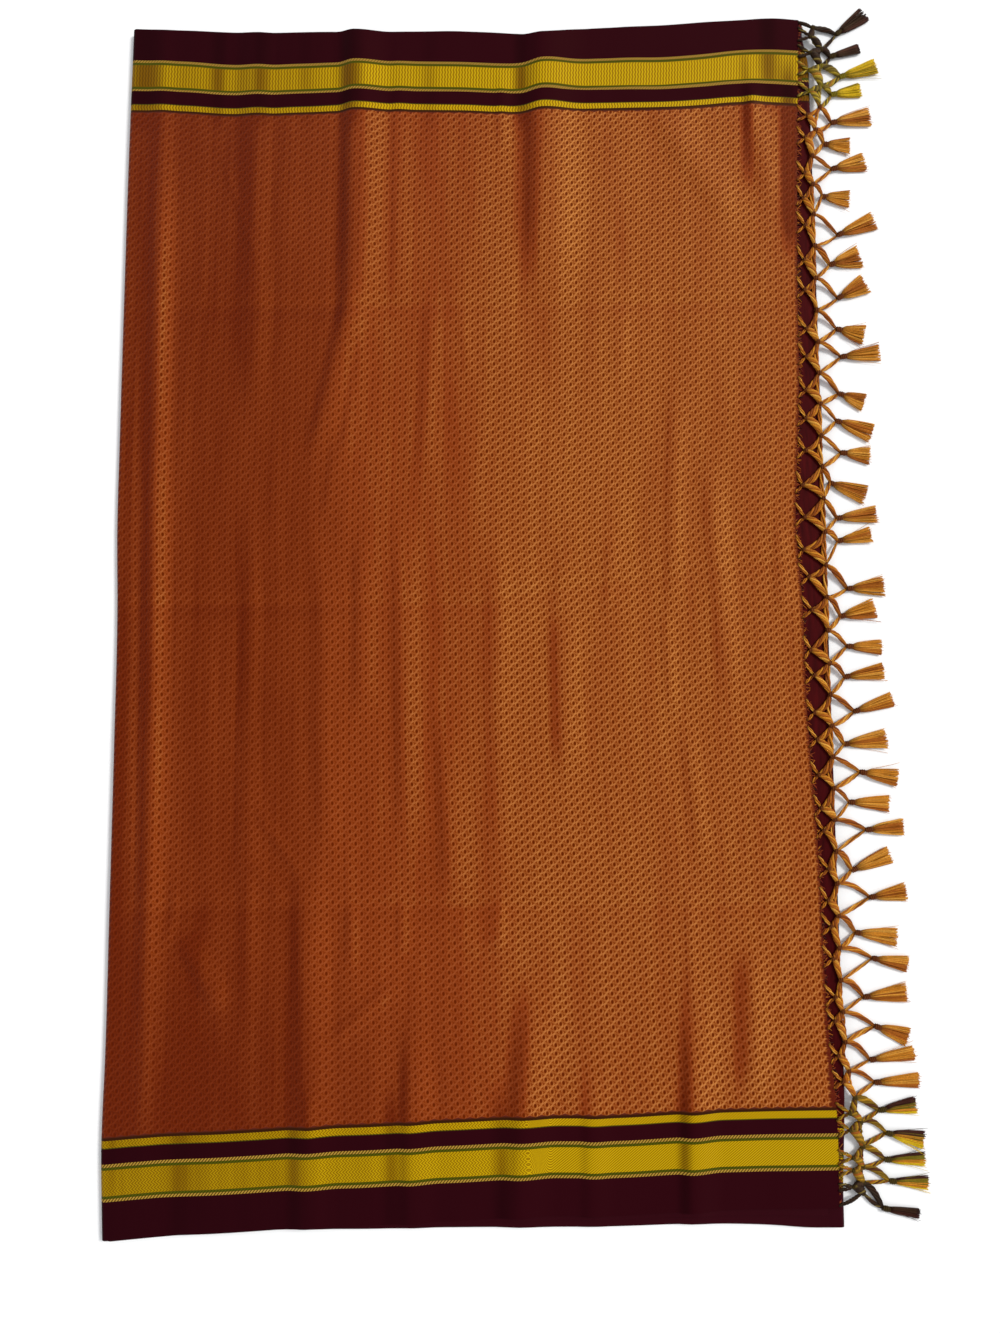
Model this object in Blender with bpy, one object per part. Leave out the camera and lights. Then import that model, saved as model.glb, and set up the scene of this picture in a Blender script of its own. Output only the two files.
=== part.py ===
"""Silk dupatta stole with a knotted net fringe, folded in four and laid flat.

Metres, +Z up. +X points to the fringed end, +Y away from the viewer, and Z is 0 on
the surface the stole lies on. The origin is the bottom centre of the whole part.
The top layer is a true cloth wall that wraps round the left fold. The hidden layers
share one rounded solid with a lip at its edges for each layer.
"""

import math
from collections import namedtuple

import bmesh
import bpy
import numpy as np
from mathutils import Vector

# Driving sizes
WALL = 0.0012  # cloth wall of the top layer
GAP = 0.0003  # between neighbouring pieces
STACK_HEIGHT = 0.0066  # four layers of brocade with the air between them
FOLD_REACH = 0.0035  # from the left fold's edge to where the top layer runs flat
TUCK = 0.006  # what shows of the wall under the left fold
COLUMNS = 46  # grid steps across the folded length
ROWS = 20  # grid steps along the width of the stole
FOLD_TURNS = 5  # steps round the left fold
NOSE_X = 0.287  # edge of the hidden layers' fold under the fringe
NOSE_ROUND = 0.0022  # how far that fold rounds past its flat top
NOSE_LEAST = 0.0009  # least flat top between the cut end and that rounding
FAR_CORNER_OUT = 0.003  # from the cut end to that fold at the far corner
FAR_CORNER_FLAT = 0.008  # length of the far corner where the fold keeps close in
FAR_CORNER_FADE = 0.035  # length over which it draws out from there
NEAR_CORNER_IN = 0.0045  # how far the fold rounds in at the near corner
NEAR_CORNER_END = -0.492  # where that rounding ends, and where it starts
NEAR_CORNER_START = -0.380

# Corners of the top layer, seen from above
NEAR_LEFT = Vector((-0.2820, -0.4908))
NEAR_RIGHT = Vector((0.2795, -0.4767))
FAR_LEFT = Vector((-0.2804, 0.4765))
FAR_RIGHT = Vector((0.2790, 0.4905))

# How far each edge bulges out of the straight line between its corners:
# (share of the edge, metres outward)
LEFT_EDGE = (
    (0.00, 0.0), (0.07, 0.0025), (0.14, 0.0014), (0.26, 0.0011), (0.38, 0.0009),
    (0.50, 0.0013), (0.56, 0.0030), (0.63, 0.0030), (0.76, 0.0024), (0.89, 0.0015),
    (1.00, 0.0),
)
RIGHT_EDGE = (
    (0.00, 0.0), (0.08, -0.0002), (0.13, -0.0040), (0.28, -0.0074), (0.40, -0.0126),
    (0.49, -0.0134), (0.55, -0.0165), (0.60, -0.0140), (0.66, -0.0106), (0.77, -0.0083),
    (0.92, -0.0034), (1.00, 0.0),
)
FAR_EDGE = (
    (0.00, 0.0), (0.10, -0.0028), (0.18, -0.0048), (0.29, -0.0043), (0.39, -0.0051),
    (0.48, -0.0052), (0.57, -0.0085), (0.61, -0.0096), (0.66, -0.0060), (0.73, -0.0040),
    (0.80, -0.0028), (0.86, -0.0006), (0.91, 0.0006), (0.96, 0.0018), (1.00, 0.0),
)
NEAR_EDGE = (
    (0.00, 0.0), (0.06, -0.0018), (0.14, -0.0019), (0.25, -0.0030), (0.36, -0.0029),
    (0.47, -0.0035), (0.59, -0.0041), (0.70, -0.0016), (0.81, -0.0024), (0.91, -0.0013),
    (1.00, 0.0),
)
# The strip of the layer below that shows past the near selvedge:
# (share of the edge, metres)
NEAR_STRIP = (
    (0.00, 0.0019), (0.06, 0.0020), (0.14, 0.0005), (0.25, 0.0018), (0.36, 0.0039),
    (0.47, 0.0060), (0.59, 0.0093), (0.70, 0.0089), (0.81, 0.0105), (0.91, 0.0129),
    (0.97, 0.0154), (1.00, 0.0148),
)

# The largest folds. Each is a ridge along a crest line: it climbs steeply on the
# left over `rise` and falls softly on the right over `fall`.
Fold = namedtuple("Fold", "start_x start_y end_x end_y bow rise fall height")
FOLDS = (
    Fold(-0.255, 0.556, -0.251, -0.533, 0.000, 0.013, 0.016, 0.0020),
    Fold(-0.177, 0.557, -0.174, 0.101, 0.000, 0.020, 0.016, 0.0019),
    Fold(-0.097, 0.558, -0.099, 0.176, 0.002, 0.015, 0.032, 0.0044),
    Fold(-0.094, 0.269, -0.129, 0.101, 0.000, 0.012, 0.024, 0.0020),
    Fold(-0.059, 0.487, -0.061, 0.218, 0.000, 0.008, 0.016, 0.0010),
    Fold(-0.032, 0.269, -0.039, 0.077, 0.000, 0.009, 0.016, 0.0010),
    Fold(0.064, 0.587, 0.057, 0.218, 0.000, 0.019, 0.040, 0.0044),
    Fold(0.143, 0.427, 0.228, 0.300, 0.000, 0.018, 0.026, 0.0016),
    Fold(0.235, 0.454, 0.249, 0.318, 0.000, 0.013, 0.016, 0.0013),
    Fold(0.167, 0.193, 0.159, -0.038, 0.000, 0.009, 0.016, 0.0012),
    Fold(0.191, 0.126, 0.205, -0.102, 0.000, 0.011, 0.018, 0.0012),
    Fold(0.019, 0.077, 0.018, -0.264, 0.000, 0.013, 0.016, 0.0010),
    Fold(0.070, -0.005, 0.073, -0.156, 0.000, 0.013, 0.024, 0.0018),
    Fold(-0.059, 0.093, -0.053, -0.240, 0.000, 0.010, 0.020, 0.0014),
    Fold(-0.090, 0.060, -0.088, -0.108, 0.000, 0.009, 0.016, 0.0013),
    Fold(-0.119, 0.060, -0.118, -0.255, 0.000, 0.013, 0.020, 0.0012),
    Fold(-0.178, 0.077, -0.175, -0.374, 0.000, 0.012, 0.012, 0.0009),
    Fold(-0.132, -0.186, -0.127, -0.571, 0.000, 0.016, 0.026, 0.0030),
    Fold(-0.225, -0.265, -0.194, -0.326, 0.000, 0.012, 0.016, 0.0018),
    Fold(-0.024, -0.085, -0.017, -0.256, 0.000, 0.011, 0.020, 0.0013),
    Fold(-0.050, -0.316, -0.049, -0.573, 0.000, 0.011, 0.022, 0.0022),
    Fold(0.046, -0.287, 0.027, -0.574, 0.000, 0.018, 0.028, 0.0038),
    Fold(0.091, -0.356, 0.087, -0.611, 0.000, 0.011, 0.018, 0.0020),
    Fold(0.170, -0.289, 0.164, -0.613, 0.000, 0.013, 0.024, 0.0038),
    Fold(0.217, -0.270, 0.215, -0.403, 0.000, 0.016, 0.022, 0.0026),
)
FOLD_FADE = 0.28  # share of a fold's length over which each end dies away
EDGE_CALM = 0.014  # distance from the left fold and the cut end where folds die away

# Slow unevenness of the whole stack: its height, and along each axis its radians per
# metre and where it starts
SLOW_HEIGHT = 0.0004
SLOW_X = (13, 2.1)
SLOW_Y = (9, 0.6)

# The hidden layers' edge, from the top rim down. `level` is a share of the height.
# The other columns push the edge outward at the selvedges, at the fold under the
# fringe, and inside the top layer's own fold.
Lip = namedtuple("Lip", "level selvedge fringe_side")
LIPS = (
    Lip(0.84, 0.0003, 0.0016),
    Lip(0.68, 0.0000, NOSE_ROUND),
    Lip(0.62, -0.0014, 0.0020),
    Lip(0.56, 0.0005, 0.0014),
    Lip(0.34, 0.0005, -0.0006),
    Lip(0.28, -0.0014, 0.0008),
    Lip(0.00, -0.0002, 0.0008),
)
INNER_FOLD_ANGLES = (40, 0, -40, -90)  # degrees round the inside of the left fold

# Fringe
STRIP_WIDTH = 0.0016  # header strip of the net
STRIP_GAP = 0.0005  # strip to the cut end
STRIP_LIFT = 0.0003  # strip over the layer below
KNOT = 0.0017  # half the width of a net knot
FIRST_ROW_OUT = 0.0076  # from the cut end to the tips of the first row of knots
SECOND_ROW_OUT = 0.0125  # from the cut end to the second row's middles
SECOND_ROW_BACK = 0.0010  # of the hidden fold's edge, where that lies further out
FAR_STATION_IN = 0.016  # from the far corner to the first knot of the first row
NEAR_STATION_IN = 0.0113  # from the near corner to its last knot
FAR_OVERHANG = 0.010  # of the second row past the first at the far end
NEAR_OVERHANG = 0.002  # and at the near end
CORNER_CORD = 0.0018  # width of the cord from each end of the header strip
CORNER_FROM = 0.370  # distance from the middle where the rows start to stand further out
CORNER_FULL = 0.425  # and where they do so fully
FIRST_CORNER_OUT = 0.0045  # how far, for the first row
SECOND_CORNER_OUT = 0.0075  # and for the second
CROTCH_BACK = 0.0030  # from a tassel's head back to where its two cords meet
CORD_BOW = 0.0012  # how far a tassel's cords bow apart
CORD_BOW_SHARE = 0.45  # and where along them
CORD_HEIGHT = 0.0014
KNOT_HEIGHT = 0.0024
FLOOR_CLEAR = 0.0009  # under the net's outer end
FALL_START = -0.001  # past the hidden fold's edge, where the net starts to fall
FALL_END = 0.016  # and where it has reached the floor
CORNER_FALL = 0.004  # how much later it falls at both corners

# Tassels, from the far corner to the near one. The knot and the tip are places on the
# floor in metres, and `width` is how far the skirt fans out at its tip.
Tassel = namedtuple("Tassel", "yarn knot_x knot_y tip_x tip_y width")
TASSELS = (
    Tassel("maroon", 0.312, 0.481, 0.337, 0.500, 0.013),
    Tassel("maroon", 0.306, 0.461, 0.331, 0.469, 0.008),
    Tassel("yellow", 0.314, 0.443, 0.345, 0.453, 0.013),
    Tassel("yellow", 0.306, 0.427, 0.331, 0.432, 0.013),
    Tassel("gold", 0.305, 0.402, 0.338, 0.408, 0.016),
    Tassel("gold", 0.297, 0.383, 0.320, 0.382, 0.014),
    Tassel("gold", 0.304, 0.361, 0.332, 0.368, 0.016),
    Tassel("gold", 0.294, 0.337, 0.318, 0.335, 0.015),
    Tassel("gold", 0.307, 0.303, 0.338, 0.316, 0.015),
    Tassel("gold", 0.299, 0.277, 0.325, 0.285, 0.019),
    Tassel("gold", 0.305, 0.248, 0.329, 0.261, 0.017),
    Tassel("gold", 0.303, 0.222, 0.326, 0.217, 0.017),
    Tassel("gold", 0.306, 0.198, 0.338, 0.202, 0.014),
    Tassel("gold", 0.303, 0.167, 0.324, 0.160, 0.015),
    Tassel("gold", 0.300, 0.144, 0.329, 0.134, 0.016),
    Tassel("gold", 0.303, 0.117, 0.327, 0.115, 0.015),
    Tassel("gold", 0.292, 0.092, 0.322, 0.082, 0.016),
    Tassel("gold", 0.297, 0.062, 0.330, 0.066, 0.014),
    Tassel("gold", 0.297, 0.043, 0.325, 0.049, 0.012),
    Tassel("gold", 0.304, 0.004, 0.334, 0.006, 0.016),
    Tassel("gold", 0.297, -0.019, 0.326, -0.012, 0.016),
    Tassel("gold", 0.302, -0.043, 0.330, -0.044, 0.012),
    Tassel("gold", 0.299, -0.068, 0.331, -0.063, 0.012),
    Tassel("gold", 0.306, -0.096, 0.337, -0.086, 0.012),
    Tassel("gold", 0.296, -0.122, 0.331, -0.118, 0.015),
    Tassel("gold", 0.309, -0.144, 0.339, -0.149, 0.014),
    Tassel("gold", 0.299, -0.168, 0.331, -0.169, 0.013),
    Tassel("gold", 0.312, -0.190, 0.342, -0.188, 0.014),
    Tassel("gold", 0.299, -0.222, 0.330, -0.210, 0.014),
    Tassel("gold", 0.313, -0.243, 0.342, -0.239, 0.014),
    Tassel("gold", 0.300, -0.270, 0.333, -0.274, 0.014),
    Tassel("gold", 0.313, -0.290, 0.341, -0.295, 0.012),
    Tassel("gold", 0.305, -0.320, 0.339, -0.317, 0.014),
    Tassel("gold", 0.313, -0.342, 0.339, -0.351, 0.014),
    Tassel("gold", 0.308, -0.368, 0.343, -0.363, 0.011),
    Tassel("gold", 0.311, -0.385, 0.346, -0.384, 0.011),
    Tassel("mixed", 0.314, -0.406, 0.343, -0.403, 0.012),
    Tassel("mixed", 0.319, -0.423, 0.348, -0.429, 0.013),
    Tassel("mixed", 0.317, -0.443, 0.348, -0.443, 0.010),
    Tassel("mixed", 0.320, -0.459, 0.350, -0.461, 0.010),
    Tassel("maroon", 0.314, -0.479, 0.342, -0.484, 0.007),
)
LOCKS = 6  # locks in a tassel's skirt
HEAD_GAP = 0.0004  # from the net's cords to the head
HEAD_LENGTH = 0.0046
HEAD_HALF_WIDTH = 0.0021
HEAD_HALF_HEIGHT = 0.0014
HEAD_RINGS = ((0.0, 0.55), (0.45, 1.25), (1.0, 1.0))  # places along it, and its girth
HEAD_CORNER = 0.72  # height of a head's side corners against its middle
HEAD_Z = 0.0024  # middle of the head over the floor
RAGGED = 0.09  # how much shorter each kind of lock is than the last
# A lock's middle and tip: the share of its length, its height over the floor, and how
# wide and how tall it is there
Section = namedtuple("Section", "place height wide tall")
LOCK_SECTIONS = (
    Section(0.5, 0.0019, 0.75, 0.62),
    Section(1.0, 0.0013, 0.33, 0.25),
)
SHARP_ANGLE = 40  # degrees between faces that meet at a sharp edge

# Colours as (red, green, blue), roughness, metallic
YARNS = {
    "gold": ((0.48, 0.19, 0.04), 0.55, 0.1),
    "yellow": ((0.52, 0.38, 0.03), 0.55, 0.1),
    "mixed": ((0.24, 0.22, 0.04), 0.60, 0.1),
    "maroon": ((0.09, 0.015, 0.02), 0.60, 0.0),
}
PALLU_COLOUR = ((0.42, 0.13, 0.03), 0.42, 0.3)
UNDER_COLOUR = ((0.16, 0.01, 0.015), 0.50, 0.0)


def clear_scene():
    for thing in list(bpy.data.objects):
        bpy.data.objects.remove(thing, do_unlink=True)


def make_material(name, colour, roughness, metallic):
    material = bpy.data.materials.new(name)
    material.use_nodes = True
    shader = material.node_tree.nodes["Principled BSDF"]
    shader.inputs["Base Color"].default_value = (*colour, 1.0)
    shader.inputs["Roughness"].default_value = roughness
    shader.inputs["Metallic"].default_value = metallic
    return material


def curve_through(table, at):
    """Value at one place on a smooth curve through a table's (place, value) rows."""
    places, values = np.array(table, dtype=float).T
    slopes = np.gradient(values, places)
    at = min(max(at, places[0]), places[-1])
    row = min(max(int(np.searchsorted(places, at)) - 1, 0), len(places) - 2)
    span = places[row + 1] - places[row]
    t = (at - places[row]) / span
    start = (1 + 2 * t) * (1 - t) ** 2 * values[row]
    start_slope = t * (1 - t) ** 2 * span * slopes[row]
    end = t * t * (3 - 2 * t) * values[row + 1]
    end_slope = t * t * (t - 1) * span * slopes[row + 1]
    return float(start + start_slope + end + end_slope)


def smooth_step(low, high, value):
    t = min(max((value - low) / (high - low), 0.0), 1.0)
    return t * t * (3 - 2 * t)


def edge_point(corner_a, corner_b, table, share, outward):
    return corner_a.lerp(corner_b, share) + Vector(outward) * curve_through(table, share)


def cloth_point(u, v):
    """Place of the top layer's point at shares u (left to right) and v (near to far)."""
    inset = Vector((FOLD_REACH, 0))
    near_left = NEAR_LEFT + inset
    far_left = FAR_LEFT + inset
    left = edge_point(near_left, far_left, LEFT_EDGE, v, (-1, 0))
    right = edge_point(NEAR_RIGHT, FAR_RIGHT, RIGHT_EDGE, v, (1, 0))
    near = edge_point(near_left, NEAR_RIGHT, NEAR_EDGE, u, (0, -1))
    far = edge_point(far_left, FAR_RIGHT, FAR_EDGE, u, (0, 1))
    corners = near_left.lerp(NEAR_RIGHT, u).lerp(far_left.lerp(FAR_RIGHT, u), v)
    return left.lerp(right, u) + near.lerp(far, v) - corners


def fold_height(fold, x, y):
    """Height that one fold adds at a place."""
    start = Vector((fold.start_x, fold.start_y))
    along = Vector((fold.end_x, fold.end_y)) - start
    length = along.length
    along /= length
    right = Vector((-along.y, along.x)) if along.y < 0 else Vector((along.y, -along.x))
    offset = Vector((x, y)) - start
    share = offset.dot(along) / length
    if not 0 < share < 1:
        return 0.0
    side = offset.dot(right) - fold.bow * math.sin(math.pi * share)
    reach = side / (fold.rise if side < 0 else fold.fall)
    if abs(reach) >= 1:
        return 0.0
    ends = smooth_step(0, FOLD_FADE, share) * smooth_step(0, FOLD_FADE, 1 - share)
    return fold.height * ends * (0.5 + 0.5 * math.cos(math.pi * reach))


def top_height(x, y):
    """Height of the top layer's face over the floor."""
    slow = math.sin(SLOW_X[0] * x + SLOW_X[1]) * math.sin(SLOW_Y[0] * y + SLOW_Y[1])
    left_calm = smooth_step(NEAR_LEFT.x + FOLD_REACH, NEAR_LEFT.x + FOLD_REACH + EDGE_CALM, x)
    share = (y - NEAR_RIGHT.y) / (FAR_RIGHT.y - NEAR_RIGHT.y)
    cut_end = NEAR_RIGHT.x + curve_through(RIGHT_EDGE, share)
    right_calm = smooth_step(0, EDGE_CALM, cut_end - x)
    folds = sum(fold_height(fold, x, y) for fold in FOLDS)
    return STACK_HEIGHT + SLOW_HEIGHT * slow + folds * left_calm * right_calm


def finish_object(name, mesh_data, material, origin):
    for polygon in mesh_data.polygons:
        polygon.use_smooth = True
    mesh_data.set_sharp_from_angle(angle=math.radians(SHARP_ANGLE))
    mesh_data.materials.append(material)
    thing = bpy.data.objects.new(name, mesh_data)
    bpy.context.collection.objects.link(thing)
    thing.parent = origin
    return thing


def mesh_from(name, points, faces):
    mesh_data = bpy.data.meshes.new(name)
    mesh_data.from_pydata([tuple(point) for point in points], [], faces)
    work = bmesh.new()
    work.from_mesh(mesh_data)
    bmesh.ops.recalc_face_normals(work, faces=work.faces)
    work.to_mesh(mesh_data)
    work.free()
    return mesh_data


def fold_section(v, inset):
    """Points of one section of the top wall, from the cut end to the tuck.

    An inset of 0 gives its outer side and an inset of WALL its inner side.
    """
    section = []
    for column in range(COLUMNS, -1, -1):
        place = cloth_point(column / COLUMNS, v)
        section.append((place.x, place.y, top_height(place.x, place.y) - inset))
    turn_x, turn_y, top = section[-1]
    middle = (top + inset) / 2
    for turn in range(1, FOLD_TURNS + 1):
        angle = math.pi * turn / FOLD_TURNS
        x = turn_x - (FOLD_REACH - inset) * math.sin(angle)
        z = middle + (middle - inset) * math.cos(angle)
        section.append((x, turn_y, z))
    section.append((turn_x + TUCK, turn_y, inset))
    return section


def make_pallu_layer(material, origin):
    """Top layer: one cloth wall over the stack and round the left fold."""
    shares = [row / ROWS for row in range(ROWS + 1)]
    outer = [fold_section(share, 0.0) for share in shares]
    inner = [fold_section(share, WALL) for share in shares]
    wide = len(outer[0])
    points = [point for section in outer + inner for point in section]
    below = wide * len(shares)
    faces = []
    for row in range(ROWS):
        for step in range(wide - 1):
            a = row * wide + step
            b = a + wide
            faces.append((a, b, b + 1, a + 1))
            faces.append((below + a, below + a + 1, below + b + 1, below + b))
    for step in range(wide - 1):
        last = ROWS * wide + step
        faces.append((step, step + 1, below + step + 1, below + step))
        faces.append((last, below + last, below + last + 1, last + 1))
    for row in range(ROWS):
        a = row * wide
        b = a + wide
        faces.append((a, below + a, below + b, b))
        a += wide - 1
        b += wide - 1
        faces.append((a, b, below + b, below + a))
    return finish_object("pallu_layer", mesh_from("pallu_layer", points, faces), material, origin)


def nose_x(y):
    """Edge of the hidden layers' fold, which draws in at the far corner."""
    fade = smooth_step(0, FAR_CORNER_FADE, FAR_RIGHT.y - FAR_CORNER_FLAT - y)
    rounding = NEAR_CORNER_IN * (1 - smooth_step(NEAR_CORNER_END, NEAR_CORNER_START, y))
    corner = FAR_RIGHT.x + FAR_CORNER_OUT
    return corner + (NOSE_X - corner) * fade - rounding


def under_top_grid():
    """Rows of the hidden layers' flat top, each from left to right.

    It repeats the top layer's grid, with one row more at the near selvedge and two
    columns more towards the fringe.
    """
    rows = []
    for row in range(-1, ROWS + 1):
        v = max(row, 0) / ROWS
        line = []
        for column in range(COLUMNS + 1):
            u = column / COLUMNS
            place = cloth_point(u, v)
            if row < 0:
                place.y -= curve_through(NEAR_STRIP, u)
            line.append(place)
        end = line[-1]
        rim = nose_x(end.y) - NOSE_ROUND
        spare = max(rim - end.x, NOSE_LEAST)
        line += [Vector((end.x + spare * share, end.y)) for share in (0.5, 1.0)]
        rows.append(line)
    return rows


def inner_fold_lip(step, top):
    """Outward push and height of the hidden layers' left edge at one lip."""
    floor = WALL + GAP
    if step < len(INNER_FOLD_ANGLES):
        angle = math.radians(INNER_FOLD_ANGLES[step])
        middle = (top + floor) / 2
        reach = FOLD_REACH - WALL - GAP
        return reach * math.cos(angle), middle + (middle - floor) * math.sin(angle)
    drop = (floor, floor / 2, 0.0)[step - len(INNER_FOLD_ANGLES)]
    return -(TUCK + GAP), drop


def rim_of(grid):
    """Grid places round the rim, as (row, column), counter-clockwise from near left."""
    last_row = len(grid) - 1
    last_column = len(grid[0]) - 1
    near = [(0, column) for column in range(last_column)]
    right = [(row, last_column) for row in range(last_row)]
    far = [(last_row, column) for column in range(last_column, 0, -1)]
    left = [(row, 0) for row in range(last_row, 0, -1)]
    return near + right + far + left


def make_under_layers(material, origin):
    """Hidden layers: one rounded solid with a flat underside and a lip for each layer."""
    grid = under_top_grid()
    last_row = len(grid) - 1
    last_column = len(grid[0]) - 1
    points = []
    for line in grid:
        for place in line:
            z = top_height(place.x, place.y) - WALL - GAP
            points.append(Vector((place.x, place.y, z)))
    wide = last_column + 1
    faces = []
    for row in range(last_row):
        for column in range(last_column):
            a = row * wide + column
            faces.append((a + 1, a + wide + 1, a + wide, a))
    rim = rim_of(grid)
    above = [row * wide + column for row, column in rim]
    for step, lip in enumerate(LIPS):
        ring = []
        for (row, column), start in zip(rim, [r * wide + c for r, c in rim]):
            point = points[start].copy()
            left_push, left_z = inner_fold_lip(step, point.z)
            share = column / last_column
            z = left_z if column == 0 else lip.level * point.z
            point.x += lip.fringe_side * share - left_push * (1 - share)
            across = row / last_row
            point.y += lip.selvedge * (across * 2 - 1)
            point.z = z
            ring.append(len(points))
            points.append(point)
        for place in range(len(rim)):
            after = (place + 1) % len(rim)
            faces.append((above[place], ring[place], ring[after], above[after]))
        above = ring
    faces.append(tuple(reversed(above)))
    return finish_object("under_layers", mesh_from("under_layers", points, faces), material, origin)


def cut_end_x(y):
    """The top layer's cut end, straight between its grid rows as in the wall."""
    ends = [cloth_point(1.0, row / ROWS) for row in range(ROWS + 1)]
    return float(np.interp(y, [end.y for end in ends], [end.x for end in ends]))


def corner_share(y):
    """1 at both ends of the net, where its rows stand further out, and 0 between."""
    return smooth_step(CORNER_FROM, CORNER_FULL, abs(y))


def net_underside(x, y):
    """Height of the net's underside: over the hidden fold, then down to the floor."""
    resting = top_height(min(x, cut_end_x(y)), y) - WALL + STRIP_LIFT
    edge = max(nose_x(y), cut_end_x(y) + NOSE_LEAST + NOSE_ROUND)
    past = x - edge - CORNER_FALL * corner_share(y)
    return resting + (FLOOR_CLEAR - resting) * smooth_step(FALL_START, FALL_END, past)


class Plate:
    """Points and faces seen from above, which become one solid with walls all round."""

    def __init__(self):
        self.places = []
        self.heights = []
        self.faces = []

    def add(self, x, y, height=CORD_HEIGHT):
        self.places.append((x, y))
        self.heights.append(height)
        return len(self.places) - 1

    def add_face(self, corners):
        """Keep a face, turned so that its corners run counter-clockwise from above."""
        ring = [self.places[corner] for corner in corners]
        turn = sum(ax * by - bx * ay for (ax, ay), (bx, by) in zip(ring, ring[1:] + ring[:1]))
        self.faces.append(list(corners) if turn > 0 else list(reversed(corners)))

    def solid(self, name):
        low = [(x, y, net_underside(x, y)) for x, y in self.places]
        high = [(x, y, z + height) for (x, y, z), height in zip(low, self.heights)]
        count = len(low)
        faces = [tuple(face) for face in self.faces]
        faces += [tuple(count + corner for corner in face[::-1]) for face in self.faces]
        sides = {}
        for face in self.faces:
            for corner, after in zip(face, face[1:] + face[:1]):
                sides[(corner, after)] = True
        for corner, after in sides:
            if (after, corner) not in sides:
                faces.append((corner, count + corner, count + after, after))
        return mesh_from(name, high + low, faces)


def net_stations():
    """Where the warp bundles leave the cut end: the tassels' places, evened out."""
    places = [tassel.knot_y for tassel in TASSELS]
    first = [places[0]] * 2
    last = [places[-1]] * 2
    padded = np.array(first + places + last)
    evened = np.convolve(padded, np.ones(5) / 5, mode="valid")
    evened[0] = FAR_RIGHT.y - FAR_STATION_IN
    evened[1] = (evened[0] + evened[2]) / 2
    evened[-1] = NEAR_RIGHT.y + NEAR_STATION_IN
    evened[-2] = (evened[-1] + evened[-3]) / 2
    return [float(place) for place in evened]


def strip_with_knots(plate, stations):
    """Header strip with the first row of knots.

    Returns each knot's three corners and the outer edges at the strip's two ends.
    """
    ends = [FAR_RIGHT.y - 0.001, NEAR_RIGHT.y + 0.001]
    marks = [ends[0], ends[0] - CORNER_CORD]
    for station in stations:
        marks += [station + KNOT, station - KNOT]
    marks += [ends[1] + CORNER_CORD, ends[1]]
    pairs = []
    for y in marks:
        x = cut_end_x(y) + STRIP_GAP
        pairs.append((plate.add(x, y), plate.add(x + STRIP_WIDTH, y)))
    for (inner, outer), (next_inner, next_outer) in zip(pairs, pairs[1:]):
        plate.add_face([inner, next_inner, next_outer, outer])
    knots = []
    for count, station in enumerate(stations):
        upper = pairs[2 + 2 * count][1]
        lower = pairs[3 + 2 * count][1]
        out = FIRST_ROW_OUT + FIRST_CORNER_OUT * corner_share(station)
        tip = plate.add(cut_end_x(station) + out, station, KNOT_HEIGHT)
        plate.add_face([upper, lower, tip])
        knots.append((upper, tip, lower))
    far_edge = (pairs[1][1], pairs[0][1])
    near_edge = (pairs[-1][1], pairs[-2][1])
    return knots, far_edge, near_edge


def diamond_knot(plate, x, y):
    """A knot of the second row. Returns its inner, far, outer and near corners."""
    middle = plate.add(x, y, KNOT_HEIGHT)
    corners = [
        plate.add(x - KNOT, y),
        plate.add(x, y + KNOT),
        plate.add(x + KNOT, y),
        plate.add(x, y - KNOT),
    ]
    for corner, after in zip(corners, corners[1:] + corners[:1]):
        plate.add_face([middle, after, corner])
    return corners


def arm(plate, start, end, bow=0.0):
    """A flat cord from one edge (two points) to another, bent once if it bows."""
    edges = [start, end]
    if bow:
        bend = []
        for here, there in zip(start, end):
            (ax, ay), (bx, by) = plate.places[here], plate.places[there]
            x = ax + (bx - ax) * CORD_BOW_SHARE
            y = ay + (by - ay) * CORD_BOW_SHARE + bow
            bend.append(plate.add(x, y))
        edges.insert(1, tuple(bend))
    for (a, b), (c, d) in zip(edges, edges[1:]):
        plate.add_face([a, b, d, c])


def make_fringe_net(material, origin):
    """Knotted lattice between the cut end and the tassels, with every mesh open."""
    plate = Plate()
    stations = net_stations()
    first_row, far_edge, near_edge = strip_with_knots(plate, stations)
    middles = [stations[0] + FAR_OVERHANG]
    middles += [(a + b) / 2 for a, b in zip(stations, stations[1:])]
    middles.append(stations[-1] - NEAR_OVERHANG)
    second_row = []
    for count, y in enumerate(middles):
        x = max(cut_end_x(y) + SECOND_ROW_OUT, nose_x(y) - SECOND_ROW_BACK)
        if count > 0:
            x += SECOND_CORNER_OUT * corner_share(y)
        second_row.append(diamond_knot(plate, x, y))
    arm(plate, far_edge, (second_row[0][0], second_row[0][1]))
    arm(plate, near_edge, (second_row[-1][3], second_row[-1][0]))
    for count, tassel in enumerate(TASSELS):
        upper, tip, lower = first_row[count]
        far_knot = second_row[count]
        near_knot = second_row[count + 1]
        arm(plate, (tip, upper), (far_knot[3], far_knot[0]))
        arm(plate, (lower, tip), (near_knot[0], near_knot[1]))
        knot = Vector((tassel.knot_x, tassel.knot_y))
        aim = (Vector((tassel.tip_x, tassel.tip_y)) - knot).normalized()
        across = Vector((-aim.y, aim.x))
        crotch = plate.add(*(knot - aim * CROTCH_BACK))
        far_side = plate.add(*(knot + across * KNOT))
        near_side = plate.add(*(knot - across * KNOT))
        plate.add_face([crotch, near_side, far_side])
        arm(plate, (far_knot[3], far_knot[2]), (crotch, far_side), CORD_BOW)
        under_both = knot.y < middles[count + 1] - KNOT
        near_start = (near_knot[3], near_knot[2]) if under_both else (near_knot[2], near_knot[1])
        arm(plate, near_start, (near_side, crotch), -CORD_BOW)
    return finish_object("fringe_net", plate.solid("fringe_net"), material, origin)


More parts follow.
